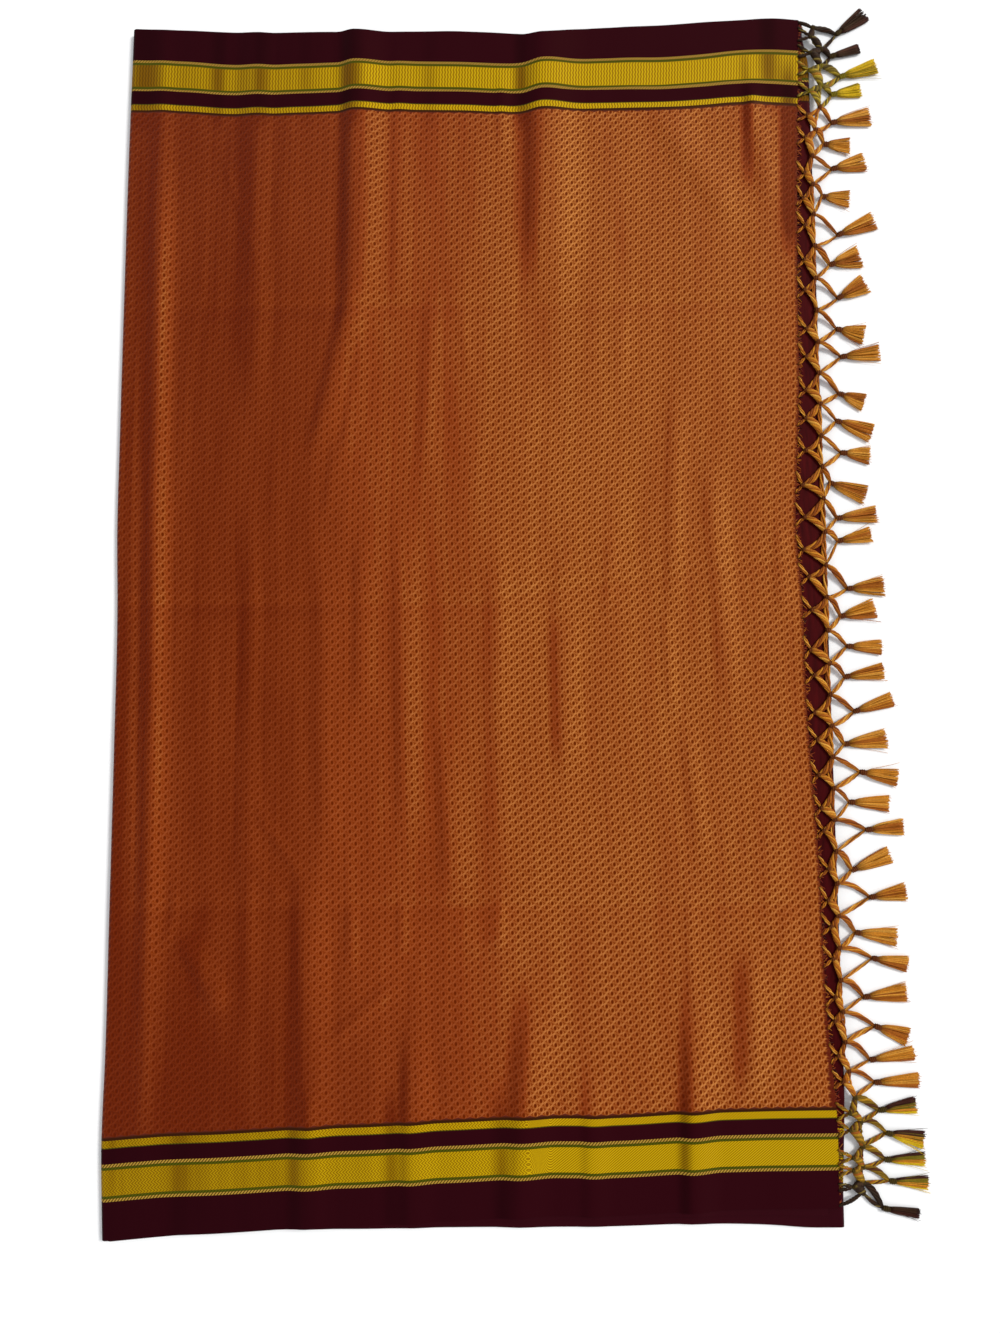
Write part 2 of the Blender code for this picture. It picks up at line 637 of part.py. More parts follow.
def tassel_ring(place, aim, across, width, height, z):
    """Eight points across a tassel's head: four along the top, four back below."""
    steps = [-1.0, -1 / 3, 1 / 3, 1.0]
    top = [place + across * width * step for step in steps]
    high = [HEAD_CORNER, 1.0, 1.0, HEAD_CORNER]
    ring = [Vector((p.x, p.y, z + height * h)) for p, h in zip(top, high)]
    ring += [Vector((p.x, p.y, z - height * h)) for p, h in zip(reversed(top), reversed(high))]
    return ring


def lock_sections(cell, aim, across, knot, tassel, number):
    """Middle and tip triangles of the lock that grows from one cell of the rim."""
    centre = sum(cell, Vector()) / 3
    share = (number + 0.5) / LOCKS * 2 - 1
    reach = (Vector((tassel.tip_x, tassel.tip_y)) - knot).length
    ragged = 1 - RAGGED * ((number * 7 + len(tassel.yarn)) % 3)
    widening = tassel.width / LOCKS / (HEAD_HALF_WIDTH * 2 / 3)
    sections = []
    for part, level, wide, tall in LOCK_SECTIONS:
        spread = HEAD_HALF_WIDTH + (tassel.width / 2 - HEAD_HALF_WIDTH) * part
        middle = knot + aim * reach * part * ragged + across * spread * share
        section = []
        for corner in cell:
            side = (corner - centre).dot(across.to_3d())
            place = middle + across * side * wide * widening
            section.append(Vector((place.x, place.y, level + (corner.z - centre.z) * tall)))
        sections.append(section)
    return sections


def make_tassel(number, tassel, material, origin):
    """A tassel lying on the floor: a bound head and a fanned skirt of locks."""
    knot = Vector((tassel.knot_x, tassel.knot_y))
    aim = (Vector((tassel.tip_x, tassel.tip_y)) - knot).normalized()
    across = Vector((-aim.y, aim.x))
    back = knot + aim * HEAD_GAP
    points = []
    for share, size in HEAD_RINGS:
        place = back + aim * HEAD_LENGTH * share
        width = HEAD_HALF_WIDTH * size
        points += tassel_ring(place, aim, across, width, HEAD_HALF_HEIGHT * size, HEAD_Z)
    faces = [tuple(range(8))]
    for ring in range(2):
        for step in range(8):
            after = (step + 1) % 8
            a = ring * 8
            faces.append((a + step, a + after, a + 8 + after, a + 8 + step))
    rim = 16
    cells = []
    for step in range(3):
        top_a = rim + step
        top_b = rim + step + 1
        low_a = rim + 7 - step
        low_b = rim + 6 - step
        cells += [(top_a, low_a, low_b), (top_a, low_b, top_b)]
    for place, cell in enumerate(cells):
        corners = [points[corner] for corner in cell]
        before = cell
        for section in lock_sections(corners, aim, across, knot, tassel, place):
            ring = tuple(range(len(points), len(points) + 3))
            points += section
            for step in range(3):
                after = (step + 1) % 3
                faces.append((before[step], before[after], ring[after], ring[step]))
            before = ring
        faces.append(before)
    name = f"tassel_{number:02d}"
    return finish_object(name, mesh_from(name, points, faces), material, origin)


def centre_on_origin(origin, things):
    """Shift the parent so that the whole part's box stands centred on the origin."""
    corners = np.array([vertex.co for thing in things for vertex in thing.data.vertices])
    low = corners.min(axis=0)
    high = corners.max(axis=0)
    origin.location = (-(low[0] + high[0]) / 2, -(low[1] + high[1]) / 2, -low[2])


def main():
    clear_scene()
    origin = bpy.data.objects.new("stole_origin", None)
    bpy.context.collection.objects.link(origin)
    yarns = {name: make_material(f"yarn_{name}", *look) for name, look in YARNS.items()}
    things = [
        make_pallu_layer(make_material("pallu_silk", *PALLU_COLOUR), origin),
        make_under_layers(make_material("under_silk", *UNDER_COLOUR), origin),
        make_fringe_net(make_material("net_yarn", *YARNS["gold"]), origin),
    ]
    for number, tassel in enumerate(TASSELS, 1):
        things.append(make_tassel(number, tassel, yarns[tassel.yarn], origin))
    centre_on_origin(origin, things)


main()
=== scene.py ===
"""Looks of the silk dupatta stole with a knotted net fringe, folded in four and laid flat.

Metres, +Z up. Shapes are worked out in the cloth's own frame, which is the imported
frame moved sideways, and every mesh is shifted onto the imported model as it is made.
"""

import math
import random
from collections import namedtuple

import bpy
import numpy as np
from mathutils import Matrix, Vector


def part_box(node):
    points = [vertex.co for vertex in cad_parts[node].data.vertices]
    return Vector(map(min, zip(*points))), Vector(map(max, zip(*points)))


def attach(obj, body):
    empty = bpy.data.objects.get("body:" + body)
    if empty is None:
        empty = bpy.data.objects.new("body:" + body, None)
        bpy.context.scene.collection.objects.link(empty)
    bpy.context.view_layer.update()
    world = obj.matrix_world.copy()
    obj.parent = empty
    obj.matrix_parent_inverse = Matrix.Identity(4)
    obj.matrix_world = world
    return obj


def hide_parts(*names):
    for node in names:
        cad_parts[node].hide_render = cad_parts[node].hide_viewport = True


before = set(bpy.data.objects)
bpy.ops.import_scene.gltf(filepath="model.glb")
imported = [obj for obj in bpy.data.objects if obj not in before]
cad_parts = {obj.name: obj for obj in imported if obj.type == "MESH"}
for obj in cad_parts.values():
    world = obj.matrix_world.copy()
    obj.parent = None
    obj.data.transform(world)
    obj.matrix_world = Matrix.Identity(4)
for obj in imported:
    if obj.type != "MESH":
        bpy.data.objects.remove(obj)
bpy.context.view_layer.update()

# The cloth's plan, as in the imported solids
STACK_HEIGHT = 0.0066  # four layers of brocade with the air between them
FOLD_REACH = 0.0035  # from the left fold's edge to where the top layer runs flat
TUCK = 0.006  # what the top layer has under the left fold
GRID_COLUMNS = 46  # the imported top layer's grid across the folded length
NOSE_X = 0.287  # edge of the hidden layers' fold under the fringe
NOSE_ROUND = 0.0024
NOSE_LEAST = 0.0009  # least flat top between the cut end and that rounding
FAR_CORNER_OUT = 0.003  # from the cut end to that fold at the far corner
FAR_CORNER_FLAT = 0.008  # length of the far corner where the fold keeps close in
FAR_CORNER_FADE = 0.035  # length over which it draws out from there
NEAR_CORNER_IN = 0.0045  # how far the fold rounds in at the near corner
NEAR_CORNER_END = -0.492  # where that rounding ends, and where it starts
NEAR_CORNER_START = -0.38
NEAR_LEFT = (-0.282, -0.4908)
NEAR_RIGHT = (0.2795, -0.4767)
FAR_LEFT = (-0.2804, 0.4765)
FAR_RIGHT = (0.279, 0.4905)

# How far each edge bulges out of the straight line between its corners:
# (share of the edge, metres outward)
LEFT_EDGE = (
    (0.0, 0.0), (0.07, 0.0025), (0.14, 0.0014), (0.26, 0.0011), (0.38, 0.0009),
    (0.5, 0.0013), (0.56, 0.003), (0.63, 0.003), (0.76, 0.0024), (0.89, 0.0015),
    (1.0, 0.0),
)
RIGHT_EDGE = (
    (0.0, 0.0), (0.08, -0.0002), (0.13, -0.004), (0.28, -0.0074), (0.4, -0.0126),
    (0.49, -0.0134), (0.55, -0.0165), (0.6, -0.014), (0.66, -0.0106), (0.77, -0.0083),
    (0.92, -0.0034), (1.0, 0.0),
)
FAR_EDGE = (
    (0.0, 0.0), (0.1, -0.0028), (0.18, -0.0048), (0.29, -0.0043), (0.39, -0.0051),
    (0.48, -0.0052), (0.57, -0.0085), (0.61, -0.0096), (0.66, -0.006), (0.73, -0.004),
    (0.8, -0.0028), (0.86, -0.0006), (0.91, 0.0006), (0.96, 0.0018), (1.0, 0.0),
)
NEAR_EDGE = (
    (0.0, 0.0), (0.06, -0.0018), (0.14, -0.0019), (0.25, -0.003), (0.36, -0.0029),
    (0.47, -0.0035), (0.59, -0.0041), (0.7, -0.0016), (0.81, -0.0024), (0.91, -0.0013),
    (1.0, 0.0),
)
# What shows of the layer below past the near selvedge: (share of the edge, metres)
NEAR_STRIP = (
    (0.0, 0.0019), (0.06, 0.002), (0.14, 0.0005), (0.25, 0.0018), (0.36, 0.0039),
    (0.47, 0.006), (0.59, 0.0093), (0.7, 0.0089), (0.81, 0.0105), (0.91, 0.0129),
    (0.97, 0.0154), (1.0, 0.0148),
)

# Folds, each a ridge along a crest line: it climbs steeply on the left over `rise`
# and falls softly on the right over `fall`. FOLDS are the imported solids' own.
Fold = namedtuple("Fold", "start_x start_y end_x end_y rise fall height bow", defaults=[0.0])
FOLDS = [Fold(*row) for row in (
    (-0.255, 0.556, -0.251, -0.533, 0.013, 0.016, 0.002),
    (-0.177, 0.557, -0.174, 0.101, 0.02, 0.016, 0.0019),
    (-0.097, 0.558, -0.099, 0.176, 0.015, 0.032, 0.0044, 0.002),
    (-0.094, 0.269, -0.129, 0.101, 0.012, 0.024, 0.002),
    (-0.059, 0.487, -0.061, 0.218, 0.008, 0.016, 0.001),
    (-0.032, 0.269, -0.039, 0.077, 0.009, 0.016, 0.001),
    (0.064, 0.587, 0.057, 0.218, 0.019, 0.04, 0.0044),
    (0.143, 0.427, 0.228, 0.3, 0.018, 0.026, 0.0016),
    (0.235, 0.454, 0.249, 0.318, 0.013, 0.016, 0.0013),
    (0.167, 0.193, 0.159, -0.038, 0.009, 0.016, 0.0012),
    (0.191, 0.126, 0.205, -0.102, 0.011, 0.018, 0.0012),
    (0.019, 0.077, 0.018, -0.264, 0.013, 0.016, 0.001),
    (0.07, -0.005, 0.073, -0.156, 0.013, 0.024, 0.0018),
    (-0.059, 0.093, -0.053, -0.24, 0.01, 0.02, 0.0014),
    (-0.09, 0.06, -0.088, -0.108, 0.009, 0.016, 0.0013),
    (-0.119, 0.06, -0.118, -0.255, 0.013, 0.02, 0.0012),
    (-0.178, 0.077, -0.175, -0.374, 0.012, 0.012, 0.0009),
    (-0.132, -0.186, -0.127, -0.571, 0.016, 0.026, 0.003),
    (-0.225, -0.265, -0.194, -0.326, 0.012, 0.016, 0.0018),
    (-0.024, -0.085, -0.017, -0.256, 0.011, 0.02, 0.0013),
    (-0.05, -0.316, -0.049, -0.573, 0.011, 0.022, 0.0022),
    (0.046, -0.287, 0.027, -0.574, 0.018, 0.028, 0.0038),
    (0.091, -0.356, 0.087, -0.611, 0.011, 0.018, 0.002),
    (0.17, -0.289, 0.164, -0.613, 0.013, 0.024, 0.0038),
    (0.217, -0.27, 0.215, -0.403, 0.016, 0.022, 0.0026),
)]
# Smaller folds that only the looks have
FINE_FOLDS = [Fold(*row) for row in (
    (0.169, -0.098, 0.18, -0.224, 0.009, 0.012, 0.001),
    (0.169, -0.22, 0.169, -0.334, 0.006, 0.01, 0.0007),
    (0.25, -0.24, 0.234, -0.328, 0.011, 0.014, 0.0009),
    (0.249, 0.064, 0.249, -0.026, 0.009, 0.012, 0.0008),
    (0.125, 0.248, 0.123, 0.168, 0.014, 0.008, 0.0006),
    (0.113, 0.052, 0.107, -0.021, 0.006, 0.008, 0.0005),
    (0.076, 0.04, 0.067, -0.021, 0.01, 0.012, 0.0006),
    (0.154, -0.005, 0.158, -0.102, 0.006, 0.01, 0.0008),
    (-0.173, -0.167, -0.132, -0.224, 0.006, 0.008, 0.001),
    (-0.174, -0.21, -0.144, -0.243, 0.008, 0.008, 0.0008),
    (-0.234, -0.223, -0.242, -0.28, 0.006, 0.006, 0.0005, 0.005),
    (-0.054, -0.297, -0.117, -0.353, 0.008, 0.01, 0.0007),
    (-0.017, -0.26, 0.006, -0.283, 0.007, 0.006, 0.0007),
    (0.02, -0.237, 0.019, -0.283, 0.014, 0.008, 0.0012),
    (-0.21, 0.38, -0.171, 0.264, 0.004, 0.005, 0.0004),
    (-0.127, -0.379, -0.126, -0.434, 0.006, 0.008, 0.0008),
    (-0.095, -0.236, -0.096, -0.297, 0.007, 0.009, 0.0007),
    (-0.056, -0.236, -0.057, -0.286, 0.007, 0.009, 0.0007),
    (0.238, 0.432, 0.234, 0.383, 0.007, 0.008, 0.0008),
    (0.026, 0.452, 0.026, 0.364, 0.006, 0.01, 0.0009),
    (-0.086, 0.218, -0.106, 0.101, 0.007, 0.014, 0.0009),
    (-0.009, 0.235, -0.001, 0.172, 0.006, 0.008, 0.0005),
    (-0.108, 0.134, -0.117, 0.06, 0.007, 0.012, 0.0006),
)]
FOLD_FADE = 0.28  # share of a fold's length over which each end dies away
EDGE_CALM = 0.014  # distance from the left fold and the cut end where folds die away

# Slow unevenness of the whole stack: its height, and along each axis its radians per
# metre and where it starts
SLOW_HEIGHT = 0.0004
SLOW_X = (13, 2.1)
SLOW_Y = (9, 0.6)

# Packing creases, soft troughs across the cloth
Crease = namedtuple("Crease", "start_x start_y end_x end_y half_width depth")
CREASES = (
    Crease(-0.29, 0.234, 0.29, 0.244, 0.009, 0.0007),
    Crease(-0.29, -0.008, 0.03, -0.009, 0.009, 0.0008),
    Crease(0.01, -0.005, 0.29, 0.031, 0.009, 0.0006),
    Crease(-0.29, -0.245, 0.29, -0.248, 0.009, 0.0008),
    Crease(-0.185, 0.002, -0.19, -0.225, 0.004, 0.0004),
)
CREASE_FADE = 0.08  # share of a crease's length over which each end dies away

# Painted light and shade of the shot silk where the cloth looks flat, as dark and bright
# strokes: a fold's shape, but its height is a change of the painted tone
PAINTED_LIGHT_AND_SHADE = [Fold(*row) for row in (
    (-0.105, 0.558, -0.11, 0.159, 0.009, 0.009, -0.08),
    (-0.079, 0.558, -0.084, 0.176, 0.018, 0.018, 0.06),
    (0.05, 0.587, 0.042, 0.227, 0.014, 0.014, -0.2),
    (0.09, 0.588, 0.085, 0.227, 0.028, 0.028, 0.05),
    (-0.188, 0.557, -0.183, 0.218, 0.014, 0.008, -0.06),
    (0.165, -0.273, 0.156, -0.613, 0.009, 0.009, -0.18),
    (0.037, -0.287, 0.021, -0.574, 0.014, 0.014, -0.13),
    (0.208, -0.278, 0.204, -0.399, 0.01, 0.01, -0.13),
    (0.084, -0.348, 0.08, -0.611, 0.007, 0.007, -0.12),
    (0.063, 0.003, 0.066, -0.148, 0.009, 0.008, -0.09),
    (-0.055, -0.316, -0.054, -0.573, 0.007, 0.005, -0.07),
    (-0.139, -0.186, -0.136, -0.571, 0.012, 0.007, -0.06),
    (0.109, 0.426, 0.128, 0.253, 0.014, 0.014, -0.08),
    (-0.037, 0.478, -0.032, 0.32, 0.014, 0.014, -0.05),
    (0.186, 0.126, 0.198, -0.102, 0.006, 0.006, -0.06),
    (-0.272, 0.556, -0.267, -0.568, 0.012, 0.01, -0.07),
    (-0.251, 0.556, -0.249, -0.497, 0.006, 0.008, 0.08),
    (-0.205, -0.223, -0.218, -0.322, 0.014, 0.01, -0.07),
    (-0.006, -0.132, -0.003, -0.249, 0.014, 0.014, 0.04),
    (-0.051, 0.044, -0.042, -0.225, 0.01, 0.009, 0.04),
    (-0.035, -0.037, -0.023, -0.225, 0.006, 0.006, -0.05),
    (0.083, 0.027, 0.083, -0.133, 0.012, 0.014, 0.05),
    (0.133, 0.044, 0.133, -0.086, 0.012, 0.012, 0.03),
    (0.142, 0.4, 0.14, 0.304, 0.008, 0.014, 0.03),
    (0.185, 0.427, 0.22, 0.305, 0.018, 0.018, 0.04),
    (-0.255, 0.44, -0.241, -0.34, 0.01, 0.019, 0.13),
    (-0.271, 0.25, -0.263, -0.33, 0.007, 0.006, 0.16),
    (-0.2785, 0.06, -0.275, -0.52, 0.006, 0.006, -0.22),
    (0.269, 0.48, 0.265, 0.27, 0.011, 0.012, -0.85),
    (0.232, 0.49, 0.232, 0.33, 0.008, 0.008, -0.42),
    (-0.225, -0.2, -0.222, -0.5, 0.035, 0.035, -0.08),
    (0.06, 0.52, 0.05, 0.12, 0.03, 0.04, -0.09),
    (-0.092, 0.52, -0.092, 0.2, 0.012, 0.01, -0.1),
)]
# Painted shade where folds cross the border bands, made the same way: the stretch of y,
# then each fold's (x, rise, fall, height)
BORDER_STRETCHES = (
    (0.56, 0.38, (
        (-0.27, 0.02, 0.022, -0.45), (-0.209, 0.01, 0.009, -0.42), (-0.173, 0.01, 0.011, -0.42),
        (-0.137, 0.01, 0.01, -0.16), (-0.099, 0.012, 0.016, -0.5), (-0.034, 0.01, 0.01, -0.2),
        (0.042, 0.01, 0.009, -0.6),
    )),
    (0.56, 0.4, ((0.252, 0.014, 0.016, -0.72),)),
    (-0.37, -0.55, (
        (-0.225, 0.012, 0.012, -0.22), (-0.139, 0.006, 0.006, -0.08), (-0.064, 0.01, 0.009, -0.32),
        (0.018, 0.011, 0.01, -0.38), (0.16, 0.01, 0.008, -0.22),
    )),
)
BORDER_PAINTED_SHADE = [
    Fold(x, start_y, x, end_y, rise, fall, height)
    for start_y, end_y, rows in BORDER_STRETCHES
    for x, rise, fall, height in rows
]
SLOPE_PAINTED_SHADE = 0.42  # how much a slope along the stole changes the painted light and shade
CREASE_PAINTED_SHADE = 0.55  # and a slope across it

# Border bands from the selvedge in, with their widths at the near and far selvedge
Band = namedtuple("Band", "name near far steps")
BANDS = (
    Band("maroon", 0.028, 0.0275, 5),
    Band("tan", 0.0022, 0.0021, 1),
    Band("green", 0.002, 0.002, 1),
    Band("yellow", 0.0188, 0.019, 4),
    Band("green", 0.002, 0.002, 1),
    Band("tan", 0.0024, 0.0016, 1),
    Band("maroon", 0.0112, 0.0115, 2),
    Band("green", 0.0006, 0.0006, 1),
    Band("yellow", 0.0053, 0.0047, 2),
    Band("dark", 0.002, 0.0015, 1),
)
# How much further in the far bands lie, and how much wider the far yellow band is:
# (share of the edge, metres)
FAR_BANDS = (
    (0.0, 0.0), (0.07, 0.0), (0.14, 0.0012), (0.25, 0.0006), (0.37, -0.0012),
    (0.49, 0.0), (0.57, -0.001), (0.61, -0.0046), (0.66, -0.001), (0.73, 0.0002),
    (0.86, 0.0012), (0.91, -0.0004), (0.96, 0.0004), (1.0, 0.0),
)
FAR_YELLOW = ((0.0, 0.0), (0.6, 0.0), (0.73, 0.0013), (0.85, 0.0019), (0.96, 0.0036), (1.0, 0.004))
CLOTH_WIDTH = 0.965  # selvedge to selvedge
CLOTH_LENGTH = 0.558  # cut end to the left fold

# Weave: repeats of the brocade's diamonds, of the borders' twill and herringbone, and
# of the ribs, and how soft a band's edge is
MOTIF_X = 0.0091  # along the stole
MOTIF_Y = 0.0064  # across it
TWILL = 0.0024
CHEVRON = 0.0019
ZIGZAG = 0.0042
RIB = 0.0006
BAND_SOFT = 0.00015

# Grids of the two sheets
FIELD_ROWS = 150
TOP_COLUMNS = 228
FOLD_TURNS = 9
LOWER_FIELD_ROWS = 44
LOWER_COLUMNS = 64
SHEET_THICKNESS = 0.0005
FOLD_STEP = 0.0012  # of weave between the columns round the left fold
FOLD_SHADE = 0.9  # painted shade round the fold: share of the tone kept from each of those columns to the next

# Hidden layers: shares of the top layer's height and of the near strip's depth, and
# where they turn back at the left, as a share of the folded length
SECOND_LAYER = 0.7
SECOND_LAG = 0.4
THIRD_LAYER = 0.42
LEFT_TURN = 0.004
LEFT_TURN_REACH = 0.0016
CUT_END_DEPTH = 0.0018  # of the third layer's face under the top one's at the cut end
RIM_LEAST = 0.0012  # least way from the cut end to where the fold rounds down

# Net and tassels
FIRST_ROW_OUT = 0.0068  # from the cut end to the first row of knots
SECOND_ROW_OUT = 0.0125  # from the cut end to the second row's middles
SECOND_ROW_BACK = 0.001  # of the hidden fold's edge, where that lies further out
FAR_STATION_IN = 0.016  # from the far corner to the first knot of the first row
NEAR_STATION_IN = 0.0113  # from the near corner to its last knot
FAR_OVERHANG = 0.01  # of the second row past the first at the far end
NEAR_OVERHANG = 0.002  # and at the near end
CORNER_FROM = 0.37  # distance from the middle where the rows start to stand further out
CORNER_FULL = 0.425  # and where they do so fully
FIRST_CORNER_OUT = 0.0045  # how far, for the first row
SECOND_CORNER_OUT = 0.0075  # and for the second
FALL_START = -0.001
FALL_END = 0.016
CORNER_FALL = 0.004  # how much later the net falls at both corners
KNOT_RADIUS = 0.0017
NET_DEPTH = 0.0013  # the net's bed under the cloth's face
FLOOR_BED = 0.0004
YARN_INSIDE = 0.0006  # how far a yarn starts inside what it comes out of
STATION_STRAY = (-0.003, 0.0045)  # how far the first row's knots stray along the fringe
FIRST_ROW_STRAY = (-0.0016, 0.001)  # and outward
RIM_BOW = (-0.003, -0.0004)  # outward bow of the cords along the second row
# Bundles of the net: how wide, how many plies and turns, and steps along each
Bundle = namedtuple("Bundle", "width plies turns steps")
HEADER = Bundle(0.0028, 3, 0.8, 8)
MIDDLE = Bundle(0.0051, 5, 0.8, 12)
RIM = Bundle(0.0044, 3, 0.9, 9)
CORNER = Bundle(0.0036, 4, 2.0, 14)
UPPER_ARM = Bundle(0.0046, 5, 0.6, 14)
LOWER_ARM = Bundle(0.0037, 5, 0.9, 14)
# How much thicker the border yarns' cords are, and how many more turns they have
BORDER_CORD = 1.2
BORDER_TURNS = 1.7
CUT_THREADS = 900  # loose thread ends along the cut end
CUT_THREAD_LENGTH = (0.0015, 0.0048)
CUT_THREAD_RADIUS = (0.00022, 0.00044)

Tassel = namedtuple("Tassel", "yarn knot_x knot_y tip_x tip_y width")
TASSELS = [Tassel(yarn, *row) for yarn, rows in (
    ("maroon", (
        (0.312, 0.481, 0.337, 0.5, 0.013), (0.306, 0.461, 0.331, 0.469, 0.008),
    )),
    ("yellow", (
        (0.314, 0.443, 0.345, 0.453, 0.013), (0.306, 0.427, 0.331, 0.432, 0.013),
    )),
    ("gold", (
        (0.305, 0.402, 0.338, 0.408, 0.016), (0.297, 0.383, 0.32, 0.382, 0.014),
        (0.304, 0.361, 0.332, 0.368, 0.016), (0.294, 0.337, 0.318, 0.335, 0.015),
        (0.307, 0.303, 0.338, 0.316, 0.015), (0.299, 0.277, 0.325, 0.285, 0.019),
        (0.305, 0.248, 0.329, 0.261, 0.017), (0.303, 0.222, 0.326, 0.217, 0.017),
        (0.306, 0.198, 0.338, 0.202, 0.014), (0.303, 0.167, 0.324, 0.16, 0.015),
        (0.3, 0.144, 0.329, 0.134, 0.016), (0.303, 0.117, 0.327, 0.115, 0.015),
        (0.292, 0.092, 0.322, 0.082, 0.016), (0.297, 0.062, 0.33, 0.066, 0.014),
        (0.297, 0.043, 0.325, 0.049, 0.012), (0.304, 0.004, 0.334, 0.006, 0.016),
        (0.297, -0.019, 0.326, -0.012, 0.016), (0.302, -0.043, 0.33, -0.044, 0.012),
        (0.299, -0.068, 0.331, -0.063, 0.012), (0.306, -0.096, 0.337, -0.086, 0.012),
        (0.296, -0.122, 0.331, -0.118, 0.015), (0.309, -0.144, 0.339, -0.149, 0.014),
        (0.299, -0.168, 0.331, -0.169, 0.013), (0.312, -0.19, 0.342, -0.188, 0.014),
        (0.299, -0.222, 0.33, -0.21, 0.014), (0.313, -0.243, 0.342, -0.239, 0.014),
        (0.3, -0.27, 0.333, -0.274, 0.014), (0.313, -0.29, 0.341, -0.295, 0.012),
        (0.305, -0.32, 0.339, -0.317, 0.014), (0.313, -0.342, 0.339, -0.351, 0.014),
        (0.308, -0.368, 0.343, -0.363, 0.011), (0.311, -0.385, 0.346, -0.384, 0.011),
    )),
    ("mixed", (
        (0.314, -0.406, 0.343, -0.403, 0.012), (0.319, -0.423, 0.348, -0.429, 0.013),
        (0.317, -0.443, 0.348, -0.443, 0.01), (0.32, -0.459, 0.35, -0.461, 0.01),
    )),
    ("maroon", ((0.314, -0.479, 0.342, -0.484, 0.007),)),
) for row in rows]
FIBRES = 84  # in a tassel's skirt
WISPS = 7  # loose hairs round it
# Their share of the skirt's width, how far they stray, and their share of its length
FIBRE_SHAPE = (1.0, 0.0007, 1.0)
WISP_SHAPE = (1.25, 0.004, 1.06)
FIBRE_RADIUS = (0.00032, 0.0005)
WISP_RADIUS = 0.00016
FIBRE_LOWEST = 0.0006
SKIRT_Z = 0.0018
SKIRT_HALF_HEIGHT = 0.0012
HEAD_LENGTH = 0.006
HEAD_HALF_WIDTH = 0.0021
HEAD_HALF_HEIGHT = 0.0015
HEAD_Z = 0.0024
# Knots: half width and height of what they bind, length, and the thread's turns and radius
Knot = namedtuple("Knot", "half_width half_height length turns thread")
FIRST_KNOT = Knot(KNOT_RADIUS * 0.8, KNOT_RADIUS * 0.7, 0.0026, 2.2, 0.0006)
SECOND_KNOT = Knot(KNOT_RADIUS, KNOT_RADIUS * 0.8, 0.003, 2.4, 0.0006)
HEAD = Knot(HEAD_HALF_WIDTH * 0.8, HEAD_HALF_HEIGHT * 0.8, HEAD_LENGTH, 4.2, 0.00065)
UP = np.array((0.0, 0.0, 1.0))
FORWARD = np.array((1.0, 0.0, 0.0))

# Colours as linear (red, green, blue)
GOLD = (0.5, 0.2, 0.018)
PALE_GOLD = (0.62, 0.31, 0.05)
BROWN_GOLD = (0.34, 0.1, 0.01)
KNOT_BROWN = (0.105, 0.025, 0.006)
YELLOW = (0.62, 0.44, 0.01)
OLIVE = (0.16, 0.13, 0.008)
MAROON = (0.032, 0.005, 0.008)
RED_BROWN = (0.2, 0.03, 0.008)
CUT_THREAD_COLOURS = (MAROON, RED_BROWN, RED_BROWN, (0.13, 0.012, 0.01), BROWN_GOLD)
YARNS = {
    "gold": (GOLD, PALE_GOLD, GOLD, BROWN_GOLD),
    "yellow": (YELLOW, YELLOW, (0.55, 0.34, 0.012), (0.34, 0.25, 0.01)),
    "mixed": (YELLOW, GOLD, OLIVE, MAROON),
    "maroon": (MAROON, (0.026, 0.005, 0.007), (0.018, 0.004, 0.006), (0.011, 0.002, 0.004)),
}
CORD_YARNS = {
    "gold": (GOLD, PALE_GOLD, BROWN_GOLD, (0.18, 0.04, 0.006)),
    "yellow": ((0.4, 0.3, 0.03), (0.34, 0.16, 0.02), (0.16, 0.12, 0.02), (0.05, 0.04, 0.012)),
    "mixed": ((0.36, 0.2, 0.012), (0.3, 0.085, 0.01), (0.17, 0.1, 0.008), (0.07, 0.02, 0.01)),
    "maroon": ((0.018, 0.01, 0.01), (0.16, 0.12, 0.03), (0.01, 0.006, 0.008), (0.022, 0.008, 0.008)),
}
KNOT_COLOURS = {
    "gold": KNOT_BROWN,
    "yellow": OLIVE,
    "mixed": (0.05, 0.035, 0.008),
    "maroon": (0.03, 0.02, 0.006),
}

# Camera, in the cloth's frame
CAMERA_PLACE = Vector((0.00257, -0.12537, 0.8002))
CAMERA_TARGET = Vector((0.02173, -0.05831, 0.007))
CAMERA_UP = Vector((0.0054, 0.9964, 0.0844))
CAMERA_LENS = 27.03
SENSOR = 36.0

# Silk colours by tone, as (tone, colour): for the brocade's ground and threads the tone is its painted
# light and shade; for the crimson it is streaks of its weave
GROUND_SHADES = (
    (0.0, (0.095, 0.007, 0.001)), (0.3, (0.178, 0.022, 0.0022)),
    (0.6, (0.19, 0.032, 0.0014)), (1.0, (0.28, 0.076, 0.004)),
)
THREAD_SHADES = (
    (0.0, (0.14, 0.016, 0.004)), (0.3, (0.268, 0.055, 0.014)),
    (0.6, (0.485, 0.179, 0.044)), (1.0, (0.68, 0.32, 0.085)),
)
CRIMSON_SHADES = ((0.2, (0.008, 0.0004, 0.0008)), (0.8, (0.05, 0.0022, 0.0028)))
EYE = ((0.075, 0.003, 0.0002), (0.09, 0.009, 0.0003))  # of a diamond, at the shot silk's painted shade and at its painted light
SCALLOP = (0.1, 0.012, 0.008)
BARE_WEAVE = (0.085, 0.006, 0.0035)
BORDER_DARK = (0.02, 0.004, 0.002)

